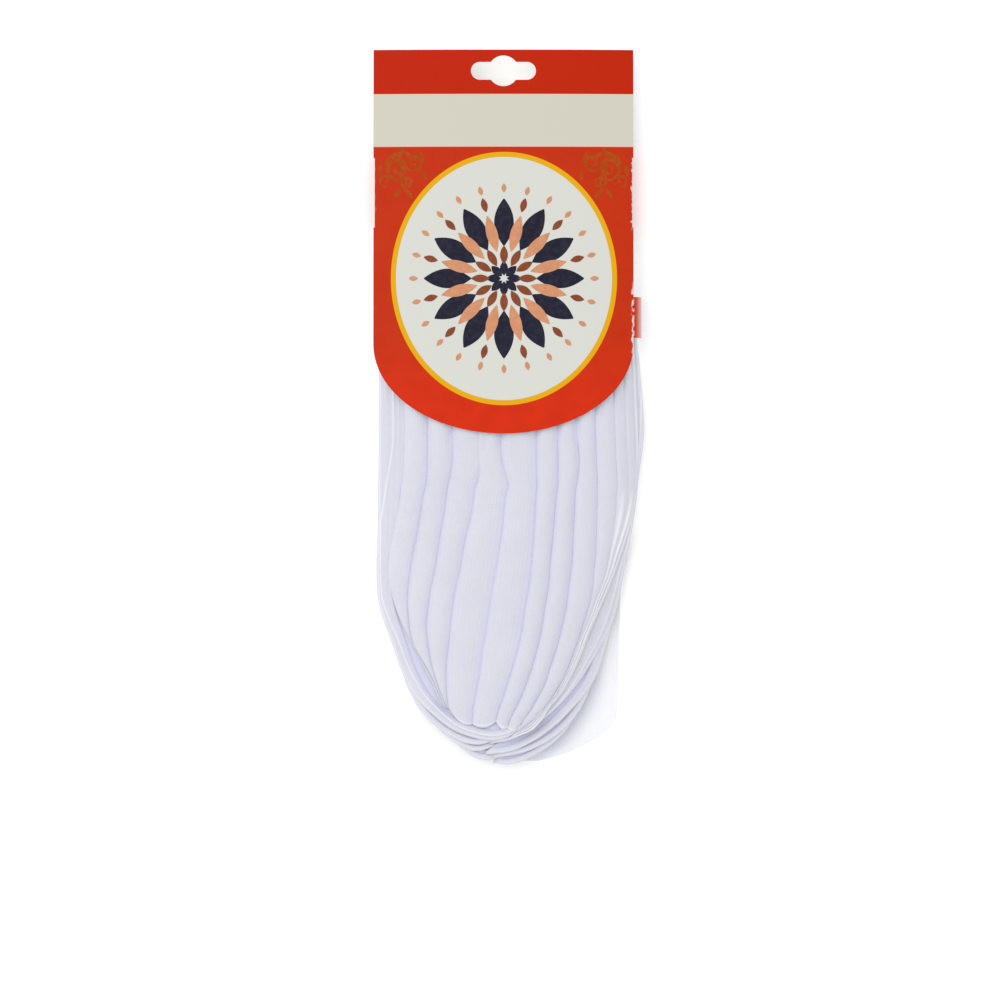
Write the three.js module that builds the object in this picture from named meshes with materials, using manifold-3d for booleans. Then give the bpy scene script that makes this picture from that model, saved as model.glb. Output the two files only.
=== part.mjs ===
// A pleated twist-front turban of stretch jersey, lying on its back on a header card.
// Millimetres, +Z up. +X is the photo's right and +Y its top: the closed end of the turban
// and the hanging slot are at +Y, the twist and the open mouth at -Y.
import * as THREE from 'three';
import { mergeVertices } from 'three/addons/utils/BufferGeometryUtils.js';
import Module from 'manifold-3d';

const wasm = await Module();
wasm.setup();

// The sizes that drive the rest.
const CARD_WIDTH = 127; // five inches, the scale of everything else
const CARD_THICK = 0.6;
const CARD_STRAIGHT = 144; // straight sides, above the curved lower edge
const CARD_CURVE = 43.7; // depth of the curved lower edge
const CARD_ARCH = 3; // how far the card's sides bend down over the turban
const SLOT_WIDTH = 31.75; // the usual hanging slot, an inch and a quarter
const SLOT_HEIGHT = 8.75;
const SLOT_BULGE = 15; // diameter of the round middle of the slot
const SLOT_DOWN = 10.4; // slot centre below the card's top edge
const SLEEVE_LENGTH = 34; // the side flaps that are folded back round the turban
const SLEEVE_DOWN = 53; // their upper edge below the card's top edge
const SLEEVE_CLIMB = 13; // length over which the back panel climbs on to the sleeve
const TAB_LENGTH = 20; // small tab at the right edge
const TAB_DOWN = 121;
const TAB_OUT = 4;
const TAB_DROP = 7;
const TURBAN_LENGTH = 295.5; // from the twist's lowest tip to the closed end
const CLOTH_WALL = 1.5; // doubled jersey
const PLEAT_HEIGHT = 2.6;
const HEAD_SPACE = 7.4; // clear height under the folds at the mouth
const CURL_WIDTH = 9; // how wide the back panel's rolled edge is

// Clearances between pieces that lie on each other.
const CLOTH_GAP = 0.4; // between two sheets that lie on each other
const SLEEVE_GAP = 1; // between the back panel's climb and the card's sleeve
const CARD_GAP = 0.8; // between the card and the crown's ridges

// Sizes that follow from them.
const TURBAN_WIDTH = CARD_WIDTH * 1.031;
const LAYER_PITCH = CLOTH_WALL + CLOTH_GAP;
const LAYERS = 5;
const CREST_HEIGHT = CLOTH_WALL + HEAD_SPACE + LAYERS * LAYER_PITCH;
const CARD_MIDDLE = -0.017 * TURBAN_WIDTH; // the card hangs a little left of the turban
const CARD_TOP = 1.182 * TURBAN_LENGTH; // the card's top edge, from the twist's lowest tip
const CARD_LENGTH = CARD_STRAIGHT + CARD_CURVE;
const SLEEVE_TOP = CARD_TOP - SLEEVE_DOWN;
const SLEEVE_HALF = CARD_WIDTH / 2 - CARD_THICK;

// Positions are shares: side of the turban's half width, along of its length from the twist.
const acrossMm = (side) => side * TURBAN_WIDTH / 2;
const alongMm = (along) => along * TURBAN_LENGTH;

function table(columns, rows) {
  const names = columns.split(' ');
  return rows.map((row) => Object.fromEntries(names.map((name, i) => [name, row[i]])));
}

// Body of the turban: its two sides, and the height of the layer under the crown in the
// middle and at the sides, as shares of CREST_HEIGHT.
const BODY = table('along left right crest edge', [
  [0.000, -0.172, 0.090, 0.99, 0.92],
  [0.024, -0.321, 0.276, 1.00, 0.90],
  [0.049, -0.463, 0.463, 1.00, 0.86],
  [0.107, -0.716, 0.612, 1.00, 0.72],
  [0.173, -0.828, 0.716, 0.96, 0.55],
  [0.272, -0.970, 0.851, 0.92, 0.43],
  [0.371, -0.978, 0.925, 0.89, 0.43],
  [0.470, -0.976, 0.980, 0.86, 0.43],
  [0.553, -0.966, 1.015, 0.81, 0.43],
  [0.702, -0.975, 0.980, 0.68, 0.42],
  [0.887, -0.960, 0.896, 0.55, 0.41],
  [0.965, -0.955, 0.896, 0.47, 0.41],
  [1.000, -0.950, 0.896, 0.40, 0.39],
]);

// Valley lines between the crown's pleats, left to right: side at eight stations, then the
// turn and the tip at the twist, and how far the tip to its right bulges.
const STATIONS = [0.999, 0.536, 0.437, 0.338, 0.272, 0.206, 0.140, 0.098];
const VALLEYS = table('top a b c d e f g turnSide turnAlong tipSide tipAlong bulge', [
  [-0.791, -0.776, -0.813, -0.892, -0.858, -0.731, -0.578, -0.49, -0.486, 0.098, -0.485, 0.098, 0],
  [-0.619, -0.597, -0.634, -0.716, -0.746, -0.713, -0.56, -0.478, -0.47, 0.097, -0.468, 0.097, 0],
  [-0.44, -0.418, -0.463, -0.53, -0.59, -0.6, -0.535, -0.463, -0.455, 0.095, -0.452, 0.095, 0],
  [-0.246, -0.224, -0.254, -0.351, -0.403, -0.44, -0.459, -0.445, -0.438, 0.093, -0.436, 0.092, 0.01],
  [-0.052, -0.037, -0.007, -0.082, -0.127, -0.172, -0.22, -0.254, -0.262, 0.08, -0.266, 0.067, 0.008],
  [0.164, 0.216, 0.209, 0.179, 0.142, 0.09, 0.007, -0.056, -0.078, 0.084, -0.09, 0.071, 0.007],
  [0.313, 0.373, 0.358, 0.321, 0.284, 0.235, 0.149, 0.067, 0.02, 0.077, -0.007, 0.06, 0.006],
  [0.455, 0.515, 0.5, 0.478, 0.44, 0.381, 0.284, 0.19, 0.12, 0.075, 0.07, 0.058, 0.003],
  [0.597, 0.653, 0.664, 0.65, 0.615, 0.522, 0.406, 0.284, 0.152, 0.068, 0.052, 0.054, 0.001],
  [0.716, 0.802, 0.81, 0.75, 0.655, 0.541, 0.423, 0.298, 0.164, 0.065, 0.035, 0.05, 0],
  [0.784, 0.886, 0.892, 0.782, 0.675, 0.56, 0.44, 0.311, 0.176, 0.062, 0.018, 0.046, 0],
  [0.836, 0.955, 0.942, 0.813, 0.695, 0.579, 0.457, 0.324, 0.188, 0.059, 0.002, 0.042, 0],
]);

// Folds that lie under the crown, listed counter-clockwise along their outer edge, with how
// far each reaches in under the layer above it, as a share of the half width.
const LIP_EDGE = table('side along reach', [
  [-0.946, 0.967, 0.15], [-0.962, 0.880, 0.18], [-0.968, 0.700, 0.21], [-0.968, 0.530, 0.23],
  [-0.976, 0.400, 0.21], [-0.974, 0.275, 0.2], [-0.873, 0.202, 0.23], [-0.746, 0.130, 0.24],
  [-0.580, 0.086, 0.21], [-0.358, 0.052, 0.17], [-0.060, 0.041, 0.15], [0.239, 0.079, 0.15],
  [0.450, 0.135, 0.15], [0.638, 0.231, 0.15], [0.804, 0.318, 0.15], [0.932, 0.410, 0.15],
  [0.974, 0.487, 0.15], [0.968, 0.600, 0.15], [0.905, 0.800, 0.14], [0.858, 0.967, 0.12],
]);
const RIGHT_EDGES = [
  table('side along reach', [
    [-0.085, 0.032, 0.06], [0.052, 0.043, 0.11], [0.261, 0.074, 0.15], [0.448, 0.113, 0.18],
    [0.627, 0.169, 0.2], [0.784, 0.236, 0.21], [0.876, 0.325, 0.2], [0.946, 0.410, 0.18],
    [0.980, 0.475, 0.18], [1.018, 0.550, 0.18], [0.993, 0.640, 0.17], [0.930, 0.780, 0.15],
    [0.893, 0.880, 0.14], [0.890, 0.967, 0.12],
  ]),
  table('side along reach', [
    [-0.125, 0.012, 0.035], [0.052, 0.024, 0.11], [0.276, 0.051, 0.17], [0.463, 0.088, 0.2],
    [0.642, 0.138, 0.23], [0.746, 0.206, 0.21], [0.843, 0.292, 0.17], [0.895, 0.340, 0.14],
  ]),
  table('side along reach', [
    [-0.075, 0.007, 0.06], [0.149, 0.022, 0.14], [0.373, 0.050, 0.17], [0.537, 0.090, 0.18],
    [0.660, 0.153, 0.2], [0.760, 0.225, 0.15],
  ]),
  table('side along reach', [
    [-0.110, 0.002, 0.06], [0.022, 0.000, 0.12], [0.224, 0.018, 0.15], [0.410, 0.050, 0.17],
    [0.560, 0.103, 0.17], [0.612, 0.131, 0.14],
  ]),
];
const LEFT_EDGES = [
  table('side along reach', [
    [-0.828, 0.181, 0.12], [-0.739, 0.121, 0.15], [-0.604, 0.076, 0.15], [-0.425, 0.046, 0.14],
    [-0.246, 0.033, 0.12], [-0.112, 0.037, 0.08],
  ]),
  table('side along reach', [
    [-0.679, 0.100, 0.11], [-0.522, 0.059, 0.12], [-0.388, 0.035, 0.12], [-0.246, 0.022, 0.11],
    [-0.118, 0.029, 0.06],
  ]),
  table('side along reach', [
    [-0.500, 0.059, 0.11], [-0.366, 0.030, 0.12], [-0.246, 0.011, 0.12], [-0.130, 0.004, 0.09],
  ]),
];

// Plain back of the turban: its two sides, and how far the rolled edge of each side comes
// up to the folds above it (1) or lies flat (0).
const BACK = table('along left right leftRoll rightRoll', [
  [0.004, -0.060, 0.230, 0, 0],
  [0.019, -0.220, 0.463, 0, 0],
  [0.036, -0.345, 0.612, 0, 0],
  [0.054, -0.470, 0.724, 0, 0],
  [0.074, -0.575, 0.805, 0, 0],
  [0.107, -0.690, 0.818, 0.3, 0],
  [0.173, -0.815, 0.828, 0.9, 0],
  [0.240, -0.910, 0.840, 1, 0],
  [0.300, -0.955, 0.855, 1, 0],
  [0.350, -0.965, 0.895, 1, 0],
  [0.400, -0.968, 0.932, 1, 0.9],
  [0.470, -0.966, 0.968, 1, 1],
  [0.553, -0.952, 0.998, 1, 1],
  [0.702, -0.960, 0.962, 1, 1],
  [0.887, -0.948, 0.882, 1, 1],
  [1.000, -0.935, 0.882, 1, 1],
]);

// A cubic through (knots, values), its slope at each knot the mean of its neighbours'.
function cubic(knots, values) {
  const last = knots.length - 1;
  const slopes = values.map((value, i) => {
    const from = Math.max(i - 1, 0);
    const to = Math.min(i + 1, last);
    return (values[to] - values[from]) / (knots[to] - knots[from]);
  });
  return (at) => {
    let i = 0;
    while (i < last - 1 && at > knots[i + 1]) i += 1;
    const span = knots[i + 1] - knots[i];
    const t = Math.min(Math.max((at - knots[i]) / span, 0), 1);
    const u = 1 - t;
    return values[i] * u * u * (1 + 2 * t) + values[i + 1] * t * t * (3 - 2 * t)
      + span * (slopes[i] * t * u * u - slopes[i + 1] * t * t * u);
  };
}

function column(rows, name) {
  return cubic(rows.map((row) => row.along), rows.map((row) => row[name]));
}

const body = {
  left: column(BODY, 'left'),
  right: column(BODY, 'right'),
  crest: column(BODY, 'crest'),
  edge: column(BODY, 'edge'),
};

// Height of the surface that the crown lies on.
function baseHeight(x, y) {
  const along = y / TURBAN_LENGTH;
  const left = acrossMm(body.left(along));
  const right = acrossMm(body.right(along));
  const side = Math.min(Math.abs((2 * x - left - right) / (right - left)), 1);
  const share = body.crest(along) + (body.edge(along) - body.crest(along)) * side ** 4;
  return CREST_HEIGHT * share;
}

// A closed mesh with its faces outward.
function solid(points, faces, name) {
  const geometry = new THREE.BufferGeometry();
  geometry.setAttribute('position', new THREE.Float32BufferAttribute(points.flat(), 3));
  geometry.setIndex(faces.flat());
  if (signedVolume(points, faces) < 0) {
    geometry.setIndex(faces.map(([a, b, c]) => [a, c, b]).flat());
  }
  geometry.name = name;
  return geometry;
}

function signedVolume(points, faces) {
  let sum = 0;
  for (const [a, b, c] of faces) {
    const [p, q, r] = [points[a], points[b], points[c]];
    sum += p[0] * (q[1] * r[2] - q[2] * r[1]) + p[1] * (q[2] * r[0] - q[0] * r[2])
      + p[2] * (q[0] * r[1] - q[1] * r[0]);
  }
  return sum;
}

// A sheet from two grids of points, upper and lower, of the same rows and columns.
function sheet(upper, lower, name) {
  const rows = upper.length;
  const columns = upper[0].length;
  const points = [...upper.flat(), ...lower.flat()];
  const over = (i, j) => i * columns + j;
  const under = (i, j) => rows * columns + over(i, j);
  const faces = [];
  const quad = (a, b, c, d) => faces.push([a, b, c], [a, c, d]);
  for (let i = 0; i < rows - 1; i += 1) {
    for (let j = 0; j < columns - 1; j += 1) {
      quad(over(i, j), over(i, j + 1), over(i + 1, j + 1), over(i + 1, j));
      quad(under(i, j), under(i + 1, j), under(i + 1, j + 1), under(i, j + 1));
    }
    quad(over(i, 0), over(i + 1, 0), under(i + 1, 0), under(i, 0));
    const end = columns - 1;
    quad(over(i + 1, end), over(i, end), under(i, end), under(i + 1, end));
  }
  for (let j = 0; j < columns - 1; j += 1) {
    quad(over(0, j + 1), over(0, j), under(0, j), under(0, j + 1));
    const end = rows - 1;
    quad(over(end, j), over(end, j + 1), under(end, j + 1), under(end, j));
  }
  return solid(points, faces, name);
}

// A closed tube through rings of points, its two ends filled from a fan point.
function loft(rings, name) {
  const size = rings[0].length;
  const points = rings.flat();
  const faces = [];
  for (let i = 0; i < rings.length - 1; i += 1) {
    for (let j = 0; j < size; j += 1) {
      const k = (j + 1) % size;
      faces.push([i * size + j, i * size + k, (i + 1) * size + k]);
      faces.push([i * size + j, (i + 1) * size + k, (i + 1) * size + j]);
    }
  }
  for (const [start, flip] of [[0, false], [(rings.length - 1) * size, true]]) {
    const ring = rings[start / size];
    const middle = [0, 1, 2].map((axis) => ring.reduce((sum, p) => sum + p[axis], 0) / size);
    points.push(middle);
    for (let j = 0; j < size; j += 1) {
      const pair = [start + j, start + (j + 1) % size];
      faces.push(flip ? [points.length - 1, ...pair] : [points.length - 1, pair[1], pair[0]]);
    }
  }
  return solid(points, faces, name);
}

// The crown: eleven pleats between twelve valley lines.
const CROWN_ROWS = [0, 0.05, 0.11, 0.2, 0.4, 0.7, 1, 1.35, 1.7, 2, 2.5, 3, 3.5, 4, 4.5, 5, 5.5,
  6, 6.5, 7, 7.5, 8, 8.4, 8.75, 9];
const PLEAT_COLUMNS = [0, 0.2, 0.5, 0.8];

// The plan curve of one valley line, from the top end to its tip.
function valleyLine(row) {
  const sides = [row.top, row.a, row.b, row.c, row.d, row.e, row.f, row.g];
  const xs = [...sides, row.turnSide, row.tipSide].map(acrossMm);
  const ys = [...STATIONS, row.turnAlong, row.tipAlong].map(alongMm);
  const knots = xs.map((x, i) => i);
  const x = cubic(knots, xs);
  const y = cubic(knots, ys);
  return (at) => [x(at), y(at)];
}

function pleatProfile(share) {
  return (1 - Math.abs(2 * share - 1) ** 2.6) ** 0.6;
}

function crown() {
  const lines = VALLEYS.map(valleyLine);
  const upper = [];
  const lower = [];
  for (const at of CROWN_ROWS) {
    const top = [];
    const bottom = [];
    const tip = Math.max(at - 8, 0); // 0 before the turn, 1 at the tip
    for (let pleat = 0; pleat < lines.length - 1; pleat += 1) {
      const [x0, y0] = lines[pleat](at);
      const [x1, y1] = lines[pleat + 1](at);
      const width = Math.hypot(x1 - x0, y1 - y0);
      const rise = PLEAT_HEIGHT * Math.min(width / 11, 1) * (1 - 0.5 * tip * tip);
      const shares = pleat === lines.length - 2 ? [...PLEAT_COLUMNS, 1] : PLEAT_COLUMNS;
      for (const share of shares) {
        const bulge = alongMm(VALLEYS[pleat].bulge) * tip * 4 * share * (1 - share);
        const x = x0 + (x1 - x0) * share;
        const y = y0 + (y1 - y0) * share - bulge;
        const z = baseHeight(x, y) + rise * pleatProfile(share);
        top.push([x, y, z + CLOTH_WALL]);
        bottom.push([x, y, z]);
      }
    }
    upper.push(top);
    lower.push(bottom);
  }
  return sheet(upper, lower, 'crown');
}

// The folds under the crown. Cross-section of a folded edge: share of the reach inward, and
// height from 0, the lower face, to 1.
const FOLD_RING = table('inward up', [
  [0, 0.5], [0.03, 0.82], [0.12, 1], [0.5, 1], [0.97, 1],
  [1, 0.5], [0.97, 0], [0.5, 0], [0.12, 0], [0.03, 0.18],
]);

// A curve through the rows' outer edge, with knots at its own length in millimetres.
function edgeCurve(rows) {
  const xs = rows.map((row) => acrossMm(row.side));
  const ys = rows.map((row) => alongMm(row.along));
  const knots = [0];
  for (let i = 1; i < rows.length; i += 1) {
    knots.push(knots[i - 1] + Math.hypot(xs[i] - xs[i - 1], ys[i] - ys[i - 1]));
  }
  const length = knots[knots.length - 1];
  return { length, x: cubic(knots, xs), y: cubic(knots, ys),
    reach: cubic(knots, rows.map((row) => acrossMm(row.reach))) };
}

function fold(rows, layer, name, step = 8) {
  const edge = edgeCurve(rows);
  const count = Math.max(Math.round(edge.length / step), 6);
  const drop = CLOTH_GAP + (layer - 1) * LAYER_PITCH + CLOTH_WALL;
  const rings = [];
  for (let i = 0; i <= count; i += 1) {
    const at = edge.length * i / count;
    const before = Math.max(at - 1, 0);
    const after = Math.min(at + 1, edge.length);
    const dx = edge.x(after) - edge.x(before);
    const dy = edge.y(after) - edge.y(before);
    const size = Math.hypot(dx, dy);
    const inward = [-dy / size, dx / size];
    const ring = FOLD_RING.map((point) => {
      const x = edge.x(at) + inward[0] * point.inward * edge.reach(at);
      const y = edge.y(at) + inward[1] * point.inward * edge.reach(at);
      return [x, y, baseHeight(x, y) - drop + point.up * CLOTH_WALL];
    });
    rings.push(ring);
  }
  return loft(rings, name);
}

// The back panel.
const SLEEVE_EDGE = SLEEVE_TOP - SLEEVE_LENGTH - 2 * SLEEVE_GAP;
const SLEEVE_STEP = [(SLEEVE_EDGE - SLEEVE_CLIMB) / TURBAN_LENGTH, SLEEVE_EDGE / TURBAN_LENGTH];
const BACK_ROWS = [0.004, 0.012, 0.022, 0.036, 0.054, 0.074, 0.107, 0.14, 0.173, 0.205, 0.24,
  0.27, 0.3, 0.325, 0.35, 0.375, 0.4, 0.43, 0.47, 0.553, 0.63, 0.702, 0.77, ...SLEEVE_STEP,
  0.93, 0.965, 0.975, 0.99, 1];
const BACK_COLUMNS = [0, 0.035, 0.08, 0.14, 0.24, 0.38, 0.5, 0.62, 0.76, 0.86, 0.92, 0.965, 1];

function backPanel() {
  const left = column(BACK, 'left');
  const right = column(BACK, 'right');
  const leftRoll = column(BACK, 'leftRoll');
  const rightRoll = column(BACK, 'rightRoll');
  const upper = [];
  const lower = [];
  for (const along of BACK_ROWS) {
    const y = alongMm(along);
    const x0 = acrossMm(left(along));
    const x1 = acrossMm(right(along));
    // Over the card's sleeve the panel lies on the card.
    const onSleeve = THREE.MathUtils.smoothstep(along, SLEEVE_STEP[0], SLEEVE_STEP[1]);
    const lift = onSleeve * (CARD_THICK + CLOTH_GAP);
    const top = [];
    const bottom = [];
    for (const share of BACK_COLUMNS) {
      const x = x0 + (x1 - x0) * share;
      const fromSide = Math.min(x - x0, x1 - x);
      const roll = x - x0 < x1 - x ? leftRoll(along) : rightRoll(along);
      const layers = x - x0 < x1 - x ? (along < 0.19 ? 2 : 1) : 2;
      const sideShare = Math.max(1 - fromSide / CURL_WIDTH, 0) * Math.min(Math.max(roll, 0), 1);
      const endShare = Math.max(1 - (TURBAN_LENGTH - y) / CURL_WIDTH, 0);
      const ceiling = (endShare > sideShare ? baseHeight(x, y)
        : baseHeight(x, y) - layers * LAYER_PITCH) - CLOTH_GAP;
      const flat = lift + CLOTH_WALL;
      const rise = Math.max(ceiling - flat, 0) * Math.max(sideShare, endShare) ** 2;
      top.push([x, y, flat + rise]);
      bottom.push([x, y, lift + rise]);
    }
    upper.push(top);
    lower.push(bottom);
  }
  return sheet(upper, lower, 'back_panel');
}

// The header card.
function toManifold(geometry) {
  const bare = geometry.clone();
  bare.deleteAttribute('normal');
  bare.deleteAttribute('uv');
  const merged = mergeVertices(bare, 1e-5);
  return new wasm.Manifold(new wasm.Mesh({
    numProp: 3,
    vertProperties: new Float32Array(merged.attributes.position.array),
    triVerts: new Uint32Array(merged.index.array),
  }));
}

function fromManifold(manifold, name) {
  const mesh = manifold.getMesh();
  const geometry = new THREE.BufferGeometry();
  geometry.setAttribute('position', new THREE.BufferAttribute(mesh.vertProperties, 3));
  geometry.setIndex(new THREE.BufferAttribute(mesh.triVerts, 1));
  geometry.name = name;
  return geometry;
}

// Underside of the card: just over the crown's ridges at both ends of their contact.
const overCrown = (along) => CREST_HEIGHT * body.crest(along) + PLEAT_HEIGHT + CLOTH_WALL
  + CARD_GAP;
const CARD_REST = [0.887, 0.56];
const CARD_SLOPE = (overCrown(CARD_REST[1]) - overCrown(CARD_REST[0]))
  / alongMm(CARD_REST[0] - CARD_REST[1]);

function cardUnderside(x, y) {
  const bend = CARD_ARCH * Math.abs((x - CARD_MIDDLE) / (CARD_WIDTH / 2)) ** 2.5;
  return overCrown(CARD_REST[0]) + CARD_SLOPE * (alongMm(CARD_REST[0]) - y) - bend;
}

function cardOutline() {
  const half = CARD_WIDTH / 2;
  const bottom = CARD_TOP - CARD_STRAIGHT;
  const sleeveEnd = SLEEVE_TOP - SLEEVE_LENGTH;
  const shape = new THREE.Shape();
  shape.moveTo(-half, CARD_TOP);
  for (const [x, y] of [[-half, SLEEVE_TOP], [-SLEEVE_HALF, SLEEVE_TOP],
    [-SLEEVE_HALF, sleeveEnd], [-half, sleeveEnd], [-half, bottom]]) {
    shape.lineTo(x, y);
  }
  for (let i = 1; i < 28; i += 1) {
    const turn = Math.PI * (1 + i / 28);
    shape.lineTo(half * Math.cos(turn), bottom + CARD_CURVE * Math.sin(turn));
  }
  for (const [x, y] of [[half, bottom], [half, sleeveEnd], [SLEEVE_HALF, sleeveEnd],
    [SLEEVE_HALF, SLEEVE_TOP], [half, SLEEVE_TOP], [half, CARD_TOP]]) {
    shape.lineTo(x, y);
  }
  return shape;
}

function prism(shape, height) {
  const geometry = new THREE.ExtrudeGeometry(shape, { depth: height, bevelEnabled: false,
    curveSegments: 8 });
  return toManifold(geometry.translate(CARD_MIDDLE, 0, 0));
}

function slotCutters(height) {
  const y = CARD_TOP - SLOT_DOWN;
  const end = (SLOT_WIDTH - SLOT_HEIGHT) / 2;
  const slot = new THREE.Shape();
  slot.absarc(end, y, SLOT_HEIGHT / 2, -Math.PI / 2, Math.PI / 2, false);
  slot.absarc(-end, y, SLOT_HEIGHT / 2, Math.PI / 2, 1.5 * Math.PI, false);
  const bulge = new THREE.Shape();
  bulge.absarc(0, y, SLOT_BULGE / 2, 0, 2 * Math.PI, false);
  return [prism(slot, height), prism(bulge, height)];
}

// The sleeve: both side flaps of the card, folded down and joined under the turban.
function sleeve() {
  const corner = 3;
  const rings = [SLEEVE_TOP, SLEEVE_TOP - SLEEVE_LENGTH].map((y) => {
    const top = cardUnderside(CARD_MIDDLE + SLEEVE_HALF, y) + CARD_THICK / 2;
    const line = (half, floor, radius) => {
      const right = [[half, top]];
      for (const turn of [0, 0.25, 0.5, 0.75, 1]) {
        const angle = turn * Math.PI / 2;
        right.push([half - radius + radius * Math.cos(angle),
          floor + radius - radius * Math.sin(angle)]);
      }
      return [...right, ...right.map(([x, z]) => [-x, z]).reverse()];
    };
    const outer = line(SLEEVE_HALF, 0, corner);
    const inner = line(SLEEVE_HALF - CARD_THICK, CARD_THICK, corner - CARD_THICK);
    return [outer, inner].map((points) => points.map(([x, z]) => [x + CARD_MIDDLE, y, z]));
  });
  const upper = rings.map(([outer]) => outer);
  const lower = rings.map(([, inner]) => inner);
  return toManifold(sheet(upper, lower, 'sleeve'));
}

// Small tab at the right edge that curls down round the turban's side.
function tab() {
  const edge = CARD_MIDDLE + CARD_WIDTH / 2;
  const lines = [0, 1].map((end) => {
    const y = CARD_TOP - TAB_DOWN - end * TAB_LENGTH;
    const z = cardUnderside(edge, y);
    const root = edge - TAB_OUT / 2;
    const outer = [[root, y, cardUnderside(root, y) + CARD_THICK]];
    const inner = [[root, y, cardUnderside(root, y)]];
    for (const turn of [0, 0.25, 0.5, 0.75, 1]) {
      const angle = turn * Math.PI / 2;
      const big = TAB_OUT;
      const small = TAB_OUT - CARD_THICK;
      outer.push([edge + big * Math.sin(angle), y, z + CARD_THICK - big * (1 - Math.cos(angle))]);
      inner.push([edge + small * Math.sin(angle), y, z - small * (1 - Math.cos(angle))]);
    }
    outer.push([edge + TAB_OUT, y, z - TAB_DROP]);
    inner.push([edge + TAB_OUT - CARD_THICK, y, z - TAB_DROP]);
    return [outer, inner];
  });
  return toManifold(sheet(lines.map(([outer]) => outer), lines.map(([, inner]) => inner), 'tab'));
}

function headerCard() {
  const tall = 60;
  const columns = 12;
  const edges = [CARD_TOP + 1, CARD_TOP - CARD_LENGTH - 1];
  const grid = (lift) => edges.map((y) => Array.from({ length: columns + 1 }, (item, i) => {
    const x = CARD_MIDDLE + (CARD_WIDTH + 2) * (i / columns - 0.5);
    return [x, y, cardUnderside(x, y) + lift];
  }));
  const bent = toManifold(sheet(grid(CARD_THICK), grid(0), 'bent card'));
  let card = bent.intersect(prism(cardOutline(), tall));
  for (const cutter of slotCutters(tall)) card = card.subtract(cutter);
  return fromManifold(card.add(sleeve()).add(tab()), 'header_card');
}

// The assembly.
function cloth(colour) {
  return new THREE.MeshStandardMaterial({ color: colour, roughness: 0.9, metalness: 0,
    side: THREE.DoubleSide });
}

const JERSEY = '#dcdeec';
const JERSEY_SHADE = '#d2d5e6';
const JERSEY_PLAIN = '#e4e6ef';
const CARD_RED = '#c53b1f';

const pieces = [
  ['crown', crown(), cloth(JERSEY)],
  ['lip_fold', fold(LIP_EDGE, 1, 'lip_fold', 11), cloth(JERSEY_SHADE)],
  ['right_fold_0', fold(RIGHT_EDGES[0], 2, 'right_fold_0', 9), cloth(JERSEY)],
  ['right_fold_1', fold(RIGHT_EDGES[1], 3, 'right_fold_1'), cloth(JERSEY_SHADE)],
  ['right_fold_2', fold(RIGHT_EDGES[2], 4, 'right_fold_2'), cloth(JERSEY)],
  ['right_fold_3', fold(RIGHT_EDGES[3], 5, 'right_fold_3'), cloth(JERSEY_SHADE)],
  ['left_fold_2', fold(LEFT_EDGES[0], 2, 'left_fold_2'), cloth(JERSEY)],
  ['left_fold_3', fold(LEFT_EDGES[1], 3, 'left_fold_3'), cloth(JERSEY_SHADE)],
  ['left_fold_4', fold(LEFT_EDGES[2], 4, 'left_fold_4'), cloth(JERSEY)],
  ['back_panel', backPanel(), cloth(JERSEY_PLAIN)],
  ['header_card', headerCard(), new THREE.MeshStandardMaterial({ color: CARD_RED,
    roughness: 0.45, metalness: 0 })],
];

const turban = new THREE.Group();
turban.name = 'turban_on_header_card';
const bounds = new THREE.Box3();
for (const [name, geometry, material] of pieces) {
  const mesh = new THREE.Mesh(geometry, material);
  mesh.name = name;
  geometry.computeBoundingBox();
  bounds.union(geometry.boundingBox);
  turban.add(mesh);
}

// The middle of the whole outline is the origin, and the lowest point is on the floor.
const middle = bounds.getCenter(new THREE.Vector3());
for (const mesh of turban.children) {
  mesh.geometry.translate(-middle.x, -middle.y, -bounds.min.z);
  mesh.geometry.computeVertexNormals();
}

export default turban;
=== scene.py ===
# %% [markdown]
# # A pleated turban on its header card
# The turban is a tube of stretch jersey, pleated lengthwise on its front and drawn together in
# a twist, and it lies on its back on a red header card that is folded round it as a sleeve.
# The CAD frame gives where each part is and how large it is. This script builds the cloth and
# the card again at a fine step, because pleats, rolled edges and printed zones need far more
# points than a collision model does.

# %% Frame
import math

import bpy
import numpy as np
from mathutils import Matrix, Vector
from mathutils.geometry import delaunay_2d_cdt


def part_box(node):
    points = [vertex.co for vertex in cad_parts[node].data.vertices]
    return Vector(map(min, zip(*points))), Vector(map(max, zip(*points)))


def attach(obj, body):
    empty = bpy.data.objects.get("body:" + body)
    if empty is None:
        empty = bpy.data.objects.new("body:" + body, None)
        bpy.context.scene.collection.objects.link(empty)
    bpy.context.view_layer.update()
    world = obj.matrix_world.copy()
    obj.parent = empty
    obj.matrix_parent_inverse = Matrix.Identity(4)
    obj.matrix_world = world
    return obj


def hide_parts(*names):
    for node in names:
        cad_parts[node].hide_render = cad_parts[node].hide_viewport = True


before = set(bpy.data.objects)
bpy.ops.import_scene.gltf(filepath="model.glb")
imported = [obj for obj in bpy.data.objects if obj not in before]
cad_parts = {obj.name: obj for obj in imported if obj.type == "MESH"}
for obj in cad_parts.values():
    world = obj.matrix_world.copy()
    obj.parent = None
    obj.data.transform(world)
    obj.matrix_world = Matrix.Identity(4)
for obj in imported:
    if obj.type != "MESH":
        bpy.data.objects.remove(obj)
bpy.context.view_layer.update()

card_low, card_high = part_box("header_card")

# %% [markdown]
# The cloth is worked out in millimetres from the twist's lowest tip, as a tailor would measure
# it, and is moved into the frame once, when a mesh is made. The two offsets come from the
# card's box in the frame, so that the fine pieces always sit where the CAD ones do.

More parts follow.
